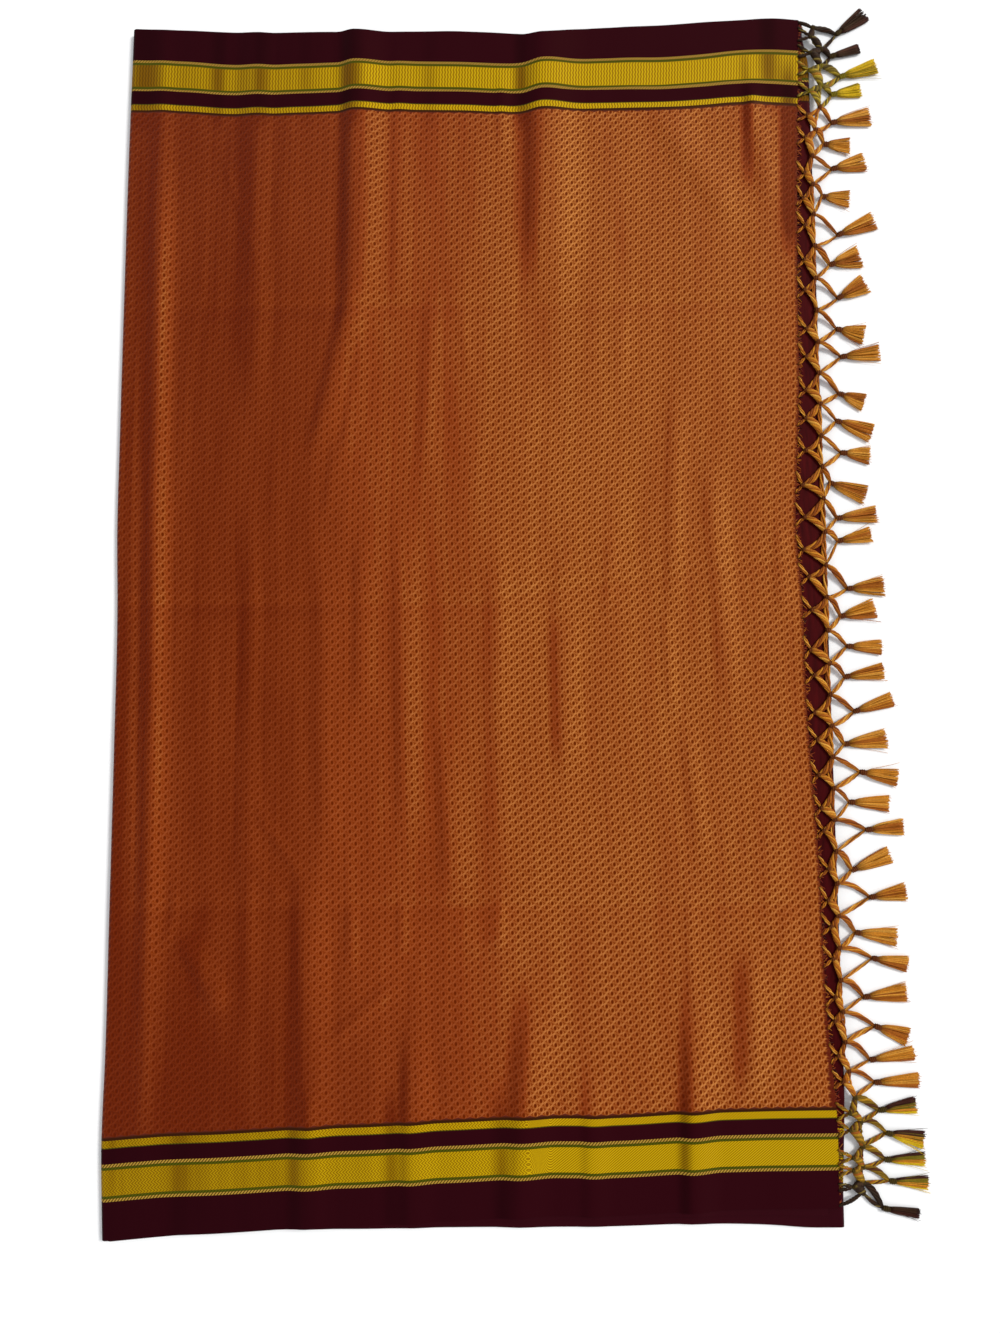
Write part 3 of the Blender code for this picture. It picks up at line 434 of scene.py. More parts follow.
# The border's yarn colours. The yellow's first pair is its painted shaded copy and its
# second its painted lit copy, each from a dark to a bright part of its twill; the maroon
# runs from painted shade to painted light; tan and green from the dark to the bright part
# of their rope weave
YELLOW_PAINTED_SHADE = ((0.085, 0.034, 0.0003), (0.145, 0.064, 0.0005))
YELLOW_PAINTED_LIT = ((0.205, 0.1, 0.0005), (0.5, 0.325, 0.002))
TAN = ((0.05, 0.024, 0.002), (0.4, 0.24, 0.035))
GREEN = ((0.022, 0.03, 0.001), (0.06, 0.07, 0.002))
MAROON = ((0.014, 0.001, 0.003), (0.022, 0.0015, 0.0042))

# The light of a bright room with a window, and the white floor
SUN_FROM = Vector((0.8, 0.42, 0.95))
SUN_STRENGTH = 2.3
SUN_SPREAD = math.radians(16)
SUN_COLOUR = (1.0, 0.985, 0.96)
SKY_STRENGTH = 0.72
SKY_COLOUR = (0.97, 0.98, 1.0, 1.0)
FLOOR_SIZE = 8.0
FLOOR_Z = -0.0002
FLOOR_COLOUR = (0.9, 0.905, 0.91, 1.0)


def curve_through(table, at):
    """Values at places on a smooth curve through a table's (place, value) rows."""
    places, values = np.array(table, dtype=float).T
    slopes = np.gradient(values, places)
    at = np.clip(at, places[0], places[-1])
    row = np.clip(np.searchsorted(places, at) - 1, 0, len(places) - 2)
    span = places[row + 1] - places[row]
    t = (at - places[row]) / span
    start = (1 + 2 * t) * (1 - t) ** 2 * values[row]
    start_slope = t * (1 - t) ** 2 * span * slopes[row]
    end = t * t * (3 - 2 * t) * values[row + 1]
    end_slope = t * t * (t - 1) * span * slopes[row + 1]
    return start + start_slope + end + end_slope


def smooth_step(low, high, value):
    t = np.clip((value - low) / (high - low), 0.0, 1.0)
    return t * t * (3 - 2 * t)


def mix(a, b, share):
    return a + (b - a) * share


def cloth_plan(u, v):
    """Places (x, y) of the top layer at shares u (left to right) and v (near to far)."""
    near_left = (NEAR_LEFT[0] + FOLD_REACH, NEAR_LEFT[1])
    far_left = (FAR_LEFT[0] + FOLD_REACH, FAR_LEFT[1])
    left_x = mix(near_left[0], far_left[0], v) - curve_through(LEFT_EDGE, v)
    left_y = mix(near_left[1], far_left[1], v)
    right_x = mix(NEAR_RIGHT[0], FAR_RIGHT[0], v) + curve_through(RIGHT_EDGE, v)
    right_y = mix(NEAR_RIGHT[1], FAR_RIGHT[1], v)
    near_x = mix(near_left[0], NEAR_RIGHT[0], u)
    near_y = mix(near_left[1], NEAR_RIGHT[1], u) - curve_through(NEAR_EDGE, u)
    far_x = mix(far_left[0], FAR_RIGHT[0], u)
    far_y = mix(far_left[1], FAR_RIGHT[1], u) + curve_through(FAR_EDGE, u)
    corner_x = mix(near_x, far_x, v)
    corner_y = mix(mix(near_left[1], NEAR_RIGHT[1], u), mix(far_left[1], FAR_RIGHT[1], u), v)
    x = mix(left_x, right_x, u) + mix(near_x, far_x, v) - corner_x
    y = mix(left_y, right_y, u) + mix(near_y, far_y, v) - corner_y
    return x, y


def frame_shift():
    """From the cloth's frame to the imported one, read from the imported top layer's box."""
    u = np.arange(GRID_COLUMNS + 1) / GRID_COLUMNS
    far_y = cloth_plan(u, np.ones_like(u))[1].max()
    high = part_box("pallu_layer")[1]
    return Vector((high.x - NEAR_RIGHT[0], high.y - far_y, 0.0))


SHIFT = frame_shift()


def along_line(line, x, y):
    """How far places x, y lie along a line, as a share of it, and metres to its side."""
    along = np.array((line.end_x - line.start_x, line.end_y - line.start_y))
    length = math.hypot(*along)
    along /= length
    off_x = x - line.start_x
    off_y = y - line.start_y
    share = (off_x * along[0] + off_y * along[1]) / length
    return share, off_x * along[1] - off_y * along[0]


def ridge(fold, x, y):
    """What one fold adds at places x, y."""
    share, side = along_line(fold, x, y)
    share = np.clip(share, 0.0, 1.0)
    rightward = -side if fold.end_y < fold.start_y else side
    offset = rightward - fold.bow * np.sin(math.pi * share)
    reach = np.clip(np.where(offset < 0, offset / fold.rise, offset / fold.fall), -1.0, 1.0)
    ends = smooth_step(0, FOLD_FADE, share) * smooth_step(0, FOLD_FADE, 1 - share)
    return fold.height * ends * (0.5 + 0.5 * np.cos(math.pi * reach))


def trough(crease, x, y):
    """How deep one packing crease is at places x, y."""
    share, side = along_line(crease, x, y)
    ends = smooth_step(0, CREASE_FADE, share) * smooth_step(0, CREASE_FADE, 1 - share)
    uneven = 0.75 + 0.25 * np.sin(23 * x + 17 * y)
    return crease.depth * ends * uneven * np.exp(-2.2 * (side / crease.half_width) ** 2)


def cut_end_x(y):
    share = (y - NEAR_RIGHT[1]) / (FAR_RIGHT[1] - NEAR_RIGHT[1])
    return mix(NEAR_RIGHT[0], FAR_RIGHT[0], share) + curve_through(RIGHT_EDGE, share)


def calm(x, y):
    """1 in the open cloth, 0 at the left fold and at the cut end."""
    left = NEAR_LEFT[0] + FOLD_REACH
    return smooth_step(left, left + EDGE_CALM, x) * smooth_step(0, EDGE_CALM, cut_end_x(y) - x)


def ripples(x, y):
    """Faint uneven waves of the cloth between its folds."""
    long_waves = np.sin(71 * x + 3.0 * np.sin(5.1 * y) + 0.7) * np.sin(8.3 * y + 1.9 + 2 * x)
    short_waves = np.sin(163 * x + 2.2 * np.sin(9.0 * y + 1.0)) * np.sin(15.7 * y + 9.0 * x)
    return 0.00028 * long_waves + 0.00011 * short_waves


def solid_height(x, y):
    """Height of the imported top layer's face."""
    slow = np.sin(SLOW_X[0] * x + SLOW_X[1]) * np.sin(SLOW_Y[0] * y + SLOW_Y[1])
    folds = sum(ridge(fold, x, y) for fold in FOLDS)
    return STACK_HEIGHT + SLOW_HEIGHT * slow + folds * calm(x, y)


def surface_height(x, y):
    """Height of the cloth's face, with the finer folds and creases."""
    fine = sum(ridge(fold, x, y) for fold in FINE_FOLDS) + ripples(x, y)
    fine -= sum(trough(crease, x, y) for crease in CREASES)
    return solid_height(x, y) + fine * calm(x, y)


def nose_x(y):
    """Edge of the hidden layers' fold, which draws in at the far corner."""
    fade = smooth_step(0, FAR_CORNER_FADE, FAR_RIGHT[1] - FAR_CORNER_FLAT - y)
    rounding = NEAR_CORNER_IN * (1 - smooth_step(NEAR_CORNER_END, NEAR_CORNER_START, y))
    corner = FAR_RIGHT[0] + FAR_CORNER_OUT
    return corner + (NOSE_X - corner) * fade - rounding


def row_shares(field_rows):
    """Rows from near to far with one on every band's edge.

    Returns their shares of the width and their border depths, which run alike from
    both selvedges and are the near selvedge's own metres.
    """
    near = [0.0]
    far = [0.0]
    depth = [0.0]
    for band in BANDS:
        for _ in range(band.steps):
            near.append(near[-1] + band.near / band.steps)
            far.append(far[-1] + band.far / band.steps)
            depth.append(near[-1])
    near = np.array(near) / CLOTH_WIDTH
    far = 1 - np.array(far) / CLOTH_WIDTH
    field = np.linspace(near[-1], far[-1], field_rows + 1)[1:-1]
    shares = np.concatenate([near, field, far[::-1]])
    from_near = (field - near[-1]) * CLOTH_WIDTH
    from_far = (far[-1] - field) * CLOTH_WIDTH
    depths = np.concatenate([depth, depth[-1] + np.minimum(from_near, from_far), depth[::-1]])
    return shares, depths


def unit(vectors):
    return vectors / np.linalg.norm(vectors, axis=-1, keepdims=True)


def add_mesh(name, points, faces, material):
    """A smooth mesh from points in the cloth's frame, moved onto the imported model."""
    mesh = bpy.data.meshes.new(name)
    mesh.from_pydata((points + np.array(SHIFT)).tolist(), [], faces)
    mesh.polygons.foreach_set("use_smooth", np.ones(len(mesh.polygons), dtype=bool))
    mesh.materials.append(material)
    thing = bpy.data.objects.new(name, mesh)
    bpy.context.scene.collection.objects.link(thing)
    return thing


def shell(name, face, run, shares, borders, tone_and_painted_shade, material):
    """A closed thin shell under a grid of points, a row for each share of the width."""
    normals = unit(np.cross(np.gradient(face, axis=0), np.gradient(face, axis=1)))
    back = face - normals * SHEET_THICKNESS
    points = np.concatenate([face.reshape(-1, 3), back.reshape(-1, 3)])
    rows, columns = face.shape[:2]
    count = rows * columns
    index = np.arange(count).reshape(rows, columns)
    cells = (index[:-1, :-1], index[1:, :-1], index[1:, 1:], index[:-1, 1:])
    front = np.stack(cells, axis=2).reshape(-1, 4)
    faces = [front, front[:, ::-1] + count]
    for edge in (index[0, :], index[-1, ::-1], index[::-1, 0], index[:, -1]):
        start, end = edge[:-1], edge[1:]
        faces.append(np.stack([start, end, end + count, start + count], axis=1))
    thing = add_mesh(name, points, np.concatenate(faces).tolist(), material)
    mesh = thing.data
    corners = np.empty(len(mesh.loops), dtype=np.int32)
    mesh.loops.foreach_get("vertex_index", corners)
    along = np.repeat(shares * CLOTH_WIDTH, columns).reshape(rows, columns)
    weave = np.tile(np.stack([run, along], axis=2).reshape(-1, 2), (2, 1)).astype(np.float32)
    mesh.uv_layers.new(name="weave").data.foreach_set("uv", weave[corners].ravel())
    for label, values in (("border", borders), ("tone_and_painted_shade", tone_and_painted_shade)):
        attribute = mesh.attributes.new(label, "FLOAT", "POINT")
        attribute.data.foreach_set("value", np.tile(values.ravel(), 2).astype(np.float32))
    mesh.set_sharp_from_angle(angle=math.radians(50))
    return thing


def painted_silk_light(x, y):
    """Painted light and shade of the shot silk, as how golden it looks: 0 is deep red, 1 is bright gold.
    """
    across_step, along_step = 0.0015, 0.004
    slope = surface_height(x + across_step, y) - surface_height(x - across_step, y)
    lengthwise = surface_height(x, y + along_step) - surface_height(x, y - along_step)
    # Painted shade: a broad run of the tone, darker towards the left and at the near left, a little
    # uneven
    broad = 0.11 + 0.2 * smooth_step(-0.16, -0.07, x) + 0.17 * smooth_step(-0.04, 0.06, x)
    broad += 0.03 * np.sin(11 * x + 1.0) * np.sin(4.3 * y + 0.4)
    broad -= 0.1 * smooth_step(-0.24, -0.4, y) * (1 - smooth_step(-0.1, 0.08, x))
    broad += sum(ridge(painted_stroke, x, y) for painted_stroke in (*PAINTED_LIGHT_AND_SHADE, *BORDER_PAINTED_SHADE))
    # Painted light and shade from the surface's slopes: lighter where it faces right, towards the sun,
    # darker where it faces left
    slopes = CREASE_PAINTED_SHADE * lengthwise / along_step - SLOPE_PAINTED_SHADE * slope / across_step
    return broad + slopes / 2


def far_drift(u, depth):
    """How far the far bands lie inward of their usual depth, per column."""
    bands = curve_through(FAR_BANDS, u) * smooth_step(0.0, 0.02, depth)
    return bands + curve_through(FAR_YELLOW, u) * smooth_step(0.03, 0.05, depth)


def make_top_sheet(material):
    """The pallu end: top layer from the cut end to its turn round the left fold."""
    shares, depths = row_shares(FIELD_ROWS)
    u = np.linspace(1.0, 0.0, TOP_COLUMNS + 1)
    grid_u, grid_v = np.meshgrid(u, shares)
    x, y = cloth_plan(grid_u, grid_v)
    z = surface_height(x, y)
    run = (1 - grid_u) * CLOTH_LENGTH
    tone_and_painted_shade = painted_silk_light(x, y)
    angles = math.pi * np.arange(1, FOLD_TURNS + 1) / FOLD_TURNS
    tucked = TUCK * np.array((0.5, 1.0))
    turned = np.arange(1, len(angles) + len(tucked) + 1)
    edge_x, edge_z = x[:, -1:], z[:, -1:]
    x = np.hstack([x, edge_x - FOLD_REACH * np.sin(angles), edge_x + tucked])
    y = np.hstack([y, np.repeat(y[:, -1:], len(turned), axis=1)])
    z = np.hstack([z, edge_z / 2 * (1 + np.cos(angles)), edge_z * 0 * tucked])
    run = np.hstack([run, run[:, -1:] + FOLD_STEP * turned])
    tone_and_painted_shade = np.hstack([tone_and_painted_shade, tone_and_painted_shade[:, -1:] * FOLD_SHADE ** turned])
    borders = np.repeat(depths[:, None], x.shape[1], axis=1)
    columns = np.concatenate([u, np.zeros(len(turned))])
    borders -= far_drift(columns, borders) * (shares > 0.5)[:, None]
    return shell("pallu_cloth", np.stack([x, y, z], axis=2), run, shares, borders, tone_and_painted_shade, material)


def lower_paths(shares):
    """The lower sheet's lengthwise path on each row, from its hidden end under the pallu.

    It runs left as the second layer, back right as the third, round the fold under
    the fringe, and left again along the floor as the fourth.
    """
    v = shares[:, None]
    lag = 1 - smooth_step(0.0, 0.5, v)
    u2 = np.linspace(0.985, LEFT_TURN, LOWER_COLUMNS)[None, :]
    x2, y2 = cloth_plan(u2 + 0 * v, v + 0 * u2)
    z2 = SECOND_LAYER * surface_height(x2, y2)
    y2 = y2 - SECOND_LAG * lag * curve_through(NEAR_STRIP, u2)
    u3 = np.linspace(LEFT_TURN, 1.0, LOWER_COLUMNS)[None, :]
    x3, y3 = cloth_plan(u3 + 0 * v, v + 0 * u3)
    high = surface_height(x3, y3)
    z3 = mix(THIRD_LAYER * high, high - CUT_END_DEPTH, smooth_step(0.975, 1.0, u3))
    y3 = y3 - lag * curve_through(NEAR_STRIP, u3)
    turn = np.linspace(0, math.pi, 7)[None, 1:-1]
    xt = x2[:, -1:] - LEFT_TURN_REACH * np.sin(turn)
    zt = (z2[:, -1:] + z3[:, :1]) / 2 + (z2[:, -1:] - z3[:, :1]) / 2 * np.cos(turn)
    yt = mix(y2[:, -1:], y3[:, :1], turn / math.pi)
    end_x, end_y, end_z = x3[:, -1:], y3[:, -1:], z3[:, -1:]
    rim = np.maximum(nose_x(end_y) - NOSE_ROUND, end_x + RIM_LEAST)
    beyond = np.linspace(0.2, 1.0, 5)[None, :]
    angles = np.linspace(0, math.pi, 11)[None, 1:]
    xn = rim + NOSE_ROUND * np.sin(angles)
    zn = (end_z + SHEET_THICKNESS) / 2 + (end_z - SHEET_THICKNESS) / 2 * np.cos(angles)
    back = np.linspace(1.0, 0.0, LOWER_COLUMNS // 2)[None, 1:]
    x4 = mix(x3[:, :1] + TUCK + 0.001, rim, back)
    y4 = np.array([np.interp(*row) for row in zip(x4, x3, y3)])
    past = np.ones((len(shares), beyond.size + angles.size))
    x = np.hstack([x2, xt, x3, mix(end_x, rim, beyond), xn, x4])
    y = np.hstack([y2, yt, y3, end_y * past, y4])
    z = np.hstack([z2, zt, z3, end_z * past[:, :beyond.size], zn, np.full_like(x4, SHEET_THICKNESS)])
    return np.stack([x, y, z], axis=2)


def make_lower_sheet(material):
    """The second, third and fourth layers, which show at the edges."""
    shares, depths = row_shares(LOWER_FIELD_ROWS)
    face = lower_paths(shares)
    steps = np.linalg.norm(np.diff(face, axis=1), axis=2)
    run = np.hstack([np.zeros((len(shares), 1)), np.cumsum(steps, axis=1)])
    borders = np.repeat(depths[:, None], face.shape[1], axis=1)
    return shell("lower_cloth", face, run, shares, borders, np.full_like(run, 0.4), material)


class Yarn:
    """Gathers swept strands, with a colour at each point, into one mesh."""

    def __init__(self):
        self.points = []
        self.faces = []
        self.colours = []
        self.count = 0

    def sweep(self, paths, radii, colours, sides, reference=UP):
        """Tubes along paths (strand, step, xyz), closed at both ends."""
        strands, steps = paths.shape[:2]
        radii = np.broadcast_to(radii, (strands, steps))
        colours = np.broadcast_to(colours, (strands, steps, 3))
        tangent = np.gradient(paths, axis=1)
        side = unit(np.cross(tangent, reference))
        up = unit(np.cross(side, tangent))
        for number in range(strands):
            for corner in range(sides):
                angle = 2 * math.pi * corner / sides
                ring = side[number] * math.cos(angle) + up[number] * math.sin(angle)
                self.points.append(paths[number] + ring * radii[number][:, None])
                self.colours.append(colours[number])
                a = self.count + corner * steps
                b = self.count + (corner + 1) % sides * steps
                self.faces += [(a + n, b + n, b + n + 1, a + n + 1) for n in range(steps - 1)]
            starts = range(self.count, self.count + sides * steps, steps)
            self.faces.append(tuple(reversed(starts)))
            self.faces.append(tuple(start + steps - 1 for start in starts))
            self.count += sides * steps

    def thing(self, name, material):
        made = add_mesh(name, np.concatenate(self.points), self.faces, material)
        colours = np.concatenate(self.colours)
        whole = np.column_stack([colours, np.ones(len(colours))])
        attribute = made.data.attributes.new("yarn_colour", "FLOAT_COLOR", "POINT")
        attribute.data.foreach_set("color", whole.astype(np.float32).ravel())
        return made


def corner_share(y):
    """1 at both ends of the net, where its rows stand further out, and 0 between."""
    return smooth_step(CORNER_FROM, CORNER_FULL, abs(y))


def net_height(x, y):
    """Height of what the net lies on: the lower cloth, then the floor past its fold."""
    resting = solid_height(np.minimum(x, cut_end_x(y)), y) - NET_DEPTH
    edge = np.maximum(nose_x(y), cut_end_x(y) + NOSE_LEAST + NOSE_ROUND)
    past = x - edge - CORNER_FALL * corner_share(y)
    return mix(resting, FLOOR_BED, smooth_step(FALL_START, FALL_END, past))


def net_stations():
    """Where the warp bundles leave the cut end: the tassels' places, evened out."""
    places = [tassel.knot_y for tassel in TASSELS]
    padded = np.array([places[0]] * 2 + places + [places[-1]] * 2)
    evened = np.convolve(padded, np.ones(5) / 5, mode="valid")
    evened[0] = FAR_RIGHT[1] - FAR_STATION_IN
    evened[1] = (evened[0] + evened[2]) / 2
    evened[-1] = NEAR_RIGHT[1] + NEAR_STATION_IN
    evened[-2] = (evened[-1] + evened[-3]) / 2
    return evened


def laid(x, y, lift):
    """A centreline through places x, y, at a height over what lies under them."""
    return np.stack([x, y, net_height(x, y) + lift], axis=1)


def cord_path(start, end, sag, steps, lift):
    """A cord's centreline over what it lies on, bowed along the fringe by sag."""
    share = np.linspace(0, 1, steps)
    y = mix(start[1], end[1], share) + np.sin(math.pi * share) * sag
    return laid(mix(start[0], end[0], share), y, lift)


def hanging_path(start, end, ahead, steps, lift):
    """A cord that first runs outward from its knot by `ahead` of the way, then turns."""
    share = np.linspace(0, 1, steps)
    bend = (mix(start[0], end[0], ahead), mix(start[1], end[1], 0.25))
    x, y = (
        (1 - share) ** 2 * start[axis] + 2 * share * (1 - share) * bend[axis] + share ** 2 * end[axis]
        for axis in (0, 1)
    )
    return laid(x, y, lift)


def twist(yarn, centre, colours, bundle, phase, scale=1.0, more_turns=1.0):
    """A flat bundle of plies wound round a centreline, widest in the middle like a leaf."""
    share = np.linspace(0, 1, len(centre))
    leaf = np.sin(math.pi * np.clip(share, 0.02, 0.98)) ** 0.75
    reach = bundle.width * scale * (0.1 + 0.22 * leaf)
    girth = bundle.width * scale * (0.13 + 0.06 * leaf)
    tangent = np.gradient(centre, axis=0)
    side = unit(np.cross(tangent, UP))
    up = unit(np.cross(side, tangent))
    for number in range(bundle.plies):
        angle = phase + 2 * math.pi * (bundle.turns * more_turns * share + number / bundle.plies)
        across = side * (reach * np.cos(angle))[:, None]
        above = up * (reach * 0.55 * np.sin(angle))[:, None]
        # Painted light and shade: each ply brightest mid-bundle and darker towards the bundle's ends
        tones = np.outer(0.42 + 0.62 * leaf, colours[number % len(colours)])
        yarn.sweep((centre + across + above)[None], girth[None], tones[None], 5)


def bind(yarn, place, aim, knot, colour, rng):
    """A knot: thread wound round a bundle, over a filled middle."""
    share = np.linspace(0, 1, int(knot.turns * 10))
    angle = 2 * math.pi * knot.turns * share + rng.uniform(0, 6)
    across = np.array((-aim[1], aim[0], 0.0))
    bulge = 0.8 + 0.35 * np.sin(math.pi * share)
    path = place + np.outer((share - 0.5) * knot.length, aim)
    path += np.outer(knot.half_width * bulge * np.cos(angle), across)
    path += np.outer(knot.half_height * bulge * np.sin(angle), UP)
    tones = np.outer(0.8 + 0.5 * np.sin(angle * 0.5) ** 2, colour)
    yarn.sweep(path[None], knot.thread, tones[None], 6, reference=aim)
    # Painted shade: the core inside the wound thread is darker than the thread
    core = place + np.outer(np.linspace(-0.55, 0.55, 6) * knot.length, aim)
    girth = knot.half_height * (0.75 + 0.25 * np.sin(np.linspace(0, math.pi, 6)))
    yarn.sweep(core[None], girth[None], np.array(colour) * 0.7, 8)


def cut_threads(yarn, rng):
    """Short loose ends of the ground's threads along the cut end."""
    share = np.linspace(0, 1, 4)
    for _ in range(CUT_THREADS):
        y = rng.uniform(NEAR_RIGHT[1] + 0.002, FAR_RIGHT[1] - 0.002)
        x = cut_end_x(y) - YARN_INSIDE
        length = rng.uniform(*CUT_THREAD_LENGTH)
        lean = rng.uniform(-1.2, 1.2)
        start_z = solid_height(x, y) - SHEET_THICKNESS
        z = mix(start_z, start_z - NET_DEPTH * 0.6, share ** 2)
        path = np.stack([x + length * share, y + length * lean * share, z], axis=1)
        colour = rng.choice(CUT_THREAD_COLOURS)
        yarn.sweep(path[None], rng.uniform(*CUT_THREAD_RADIUS), colour, 4)


def net_rows(rng):
    """Places (x, y) of the first row's knots, and of the second row's."""
    evened = net_stations()
    middles = np.concatenate([
        [evened[0] + FAR_OVERHANG], (evened[1:] + evened[:-1]) / 2, [evened[-1] - NEAR_OVERHANG],
    ])
    stations = evened + np.array([rng.uniform(*STATION_STRAY) for _ in evened])
    first_x = cut_end_x(stations) + FIRST_ROW_OUT + FIRST_CORNER_OUT * corner_share(stations)
    first_x = first_x + np.array([rng.uniform(*FIRST_ROW_STRAY) for _ in stations])
    second_x = np.maximum(cut_end_x(middles) + SECOND_ROW_OUT, nose_x(middles) - SECOND_ROW_BACK)
    second_x[1:] += SECOND_CORNER_OUT * corner_share(middles[1:])
    return list(zip(first_x, stations)), list(zip(second_x, middles))


def header_cords(yarn, knot, gap, palette, thick, turns, rng):
    """Two cords from the cut end to a knot of the first row."""
    gold, pale, brown, dark = palette
    rise = (1 - np.linspace(0, 1, HEADER.steps)) ** 2 * (NET_DEPTH - SHEET_THICKNESS * 0.6)
    for offset, colours in ((gap * 0.85, (gold, brown, pale)), (-gap * 0.5, (brown, dark, gold))):
        start_y = np.clip(knot[1] + offset, NEAR_RIGHT[1] + 0.001, FAR_RIGHT[1] - 0.001)
        start = (cut_end_x(start_y) - YARN_INSIDE, start_y)
        path = cord_path(start, knot, 0.0, HEADER.steps, HEADER.width * 0.3)
        path[:, 2] += rise
        twist(yarn, path, colours, HEADER, rng.uniform(0, 6), thick, turns)


def middle_cords(yarn, knot, ends, palette, thick, turns, rng):
    """Cords from a first row's knot to two knots of the second row, and between those."""
    gold, pale, brown, dark = palette
    for side, colours in enumerate(((brown, dark, gold, brown, dark), (gold, pale, brown, gold, brown))):
        ahead = rng.uniform(0.45, 0.95)
        lift = MIDDLE.width * (0.24 + 0.1 * side)
        path = hanging_path(knot, ends[side], ahead, MIDDLE.steps, lift)
        scale = thick * rng.uniform(0.8, 1.25)
        twist(yarn, path, colours, MIDDLE, rng.uniform(0, 6), scale, turns)
    colours = rng.choice(((brown, gold, dark), (gold, brown, brown), (brown, pale, dark)))
    path = cord_path(*ends, 0.0, RIM.steps, RIM.width * 0.2)
    path[:, 0] += np.sin(math.pi * np.linspace(0, 1, RIM.steps)) * rng.uniform(*RIM_BOW)
    twist(yarn, path, colours, RIM, rng.uniform(0, 6), rng.uniform(0.7, 1.2), turns)


def arms(yarn, ends, tassel, palette, thick, turns, rng):
    """Two cords from the second row to a tassel's knot."""
    gold, pale, brown, dark = palette
    knot = np.array((tassel.knot_x, tassel.knot_y))
    crotch = knot + unit(np.array((tassel.tip_x, tassel.tip_y)) - knot) * YARN_INSIDE
    upper, lower = (brown, gold, brown, brown, dark), (gold, pale, brown, gold, dark)
    for side, bundle, bow, colours in ((0, UPPER_ARM, 0.003, upper), (1, LOWER_ARM, -0.0012, lower)):
        sag = bow * rng.uniform(0.3, 1.4)
        path = cord_path(ends[side], crotch, sag, bundle.steps, bundle.width * 0.32)
        twist(yarn, path, colours, bundle, rng.uniform(0, 6), thick * rng.uniform(0.75, 1.2), turns)


def make_net(material):
    """Net of twisted bundles between the cut end and the tassels' knots."""
    rng = random.Random(5)
    yarn = Yarn()
    first, second = net_rows(rng)
    for number, tassel in enumerate(TASSELS):
        palette = CORD_YARNS[tassel.yarn]
        thick, turns = (1.0, 1.0) if tassel.yarn == "gold" else (BORDER_CORD, BORDER_TURNS)
        x, y = first[number]
        ends = second[number:number + 2]
        gap = (ends[0][1] - ends[1][1]) / 2
        header_cords(yarn, (x, y), gap, palette, thick, turns, rng)
        middle_cords(yarn, (x, y), ends, palette, thick, turns, rng)
        place = np.array((x, y, net_height(x, y) + KNOT_RADIUS * 0.8))
        bind(yarn, place, FORWARD, FIRST_KNOT, KNOT_COLOURS[tassel.yarn], rng)
        arms(yarn, ends, tassel, palette, thick, turns, rng)
    for (x, y), tassel in zip(second, (*TASSELS, TASSELS[-1])):
        place = np.array((x, y, net_height(x, y) + KNOT_RADIUS))
        bind(yarn, place, FORWARD, SECOND_KNOT, KNOT_COLOURS[tassel.yarn], rng)
    for end_y, knot in ((FAR_RIGHT[1] - 0.0015, second[0]), (NEAR_RIGHT[1] + 0.0015, second[-1])):
        start = (cut_end_x(end_y) - YARN_INSIDE, end_y)
        path = cord_path(start, knot, 0.0, CORNER.steps, CORNER.width * 0.3)
        twist(yarn, path, CORD_YARNS["maroon"][::2], CORNER, rng.uniform(0, 6))
    cut_threads(yarn, rng)
    return yarn.thing("net_cords", material)


def fibre_colour(tassel, place, turn, rng):
    """The yarn's colour at a fibre's place across the tassel, from -1 to 1."""
    palette = YARNS[tassel.yarn]
    if tassel.yarn == "mixed":
        drift = place * 0.5 + 0.5 + rng.uniform(-0.6, 0.6) / len(palette)
    else:
        drift = math.sin(2.3 * place + turn) * 0.5 + 0.5 + rng.uniform(-0.35, 0.35)
    return palette[min(max(int(drift * len(palette)), 0), len(palette) - 1)]


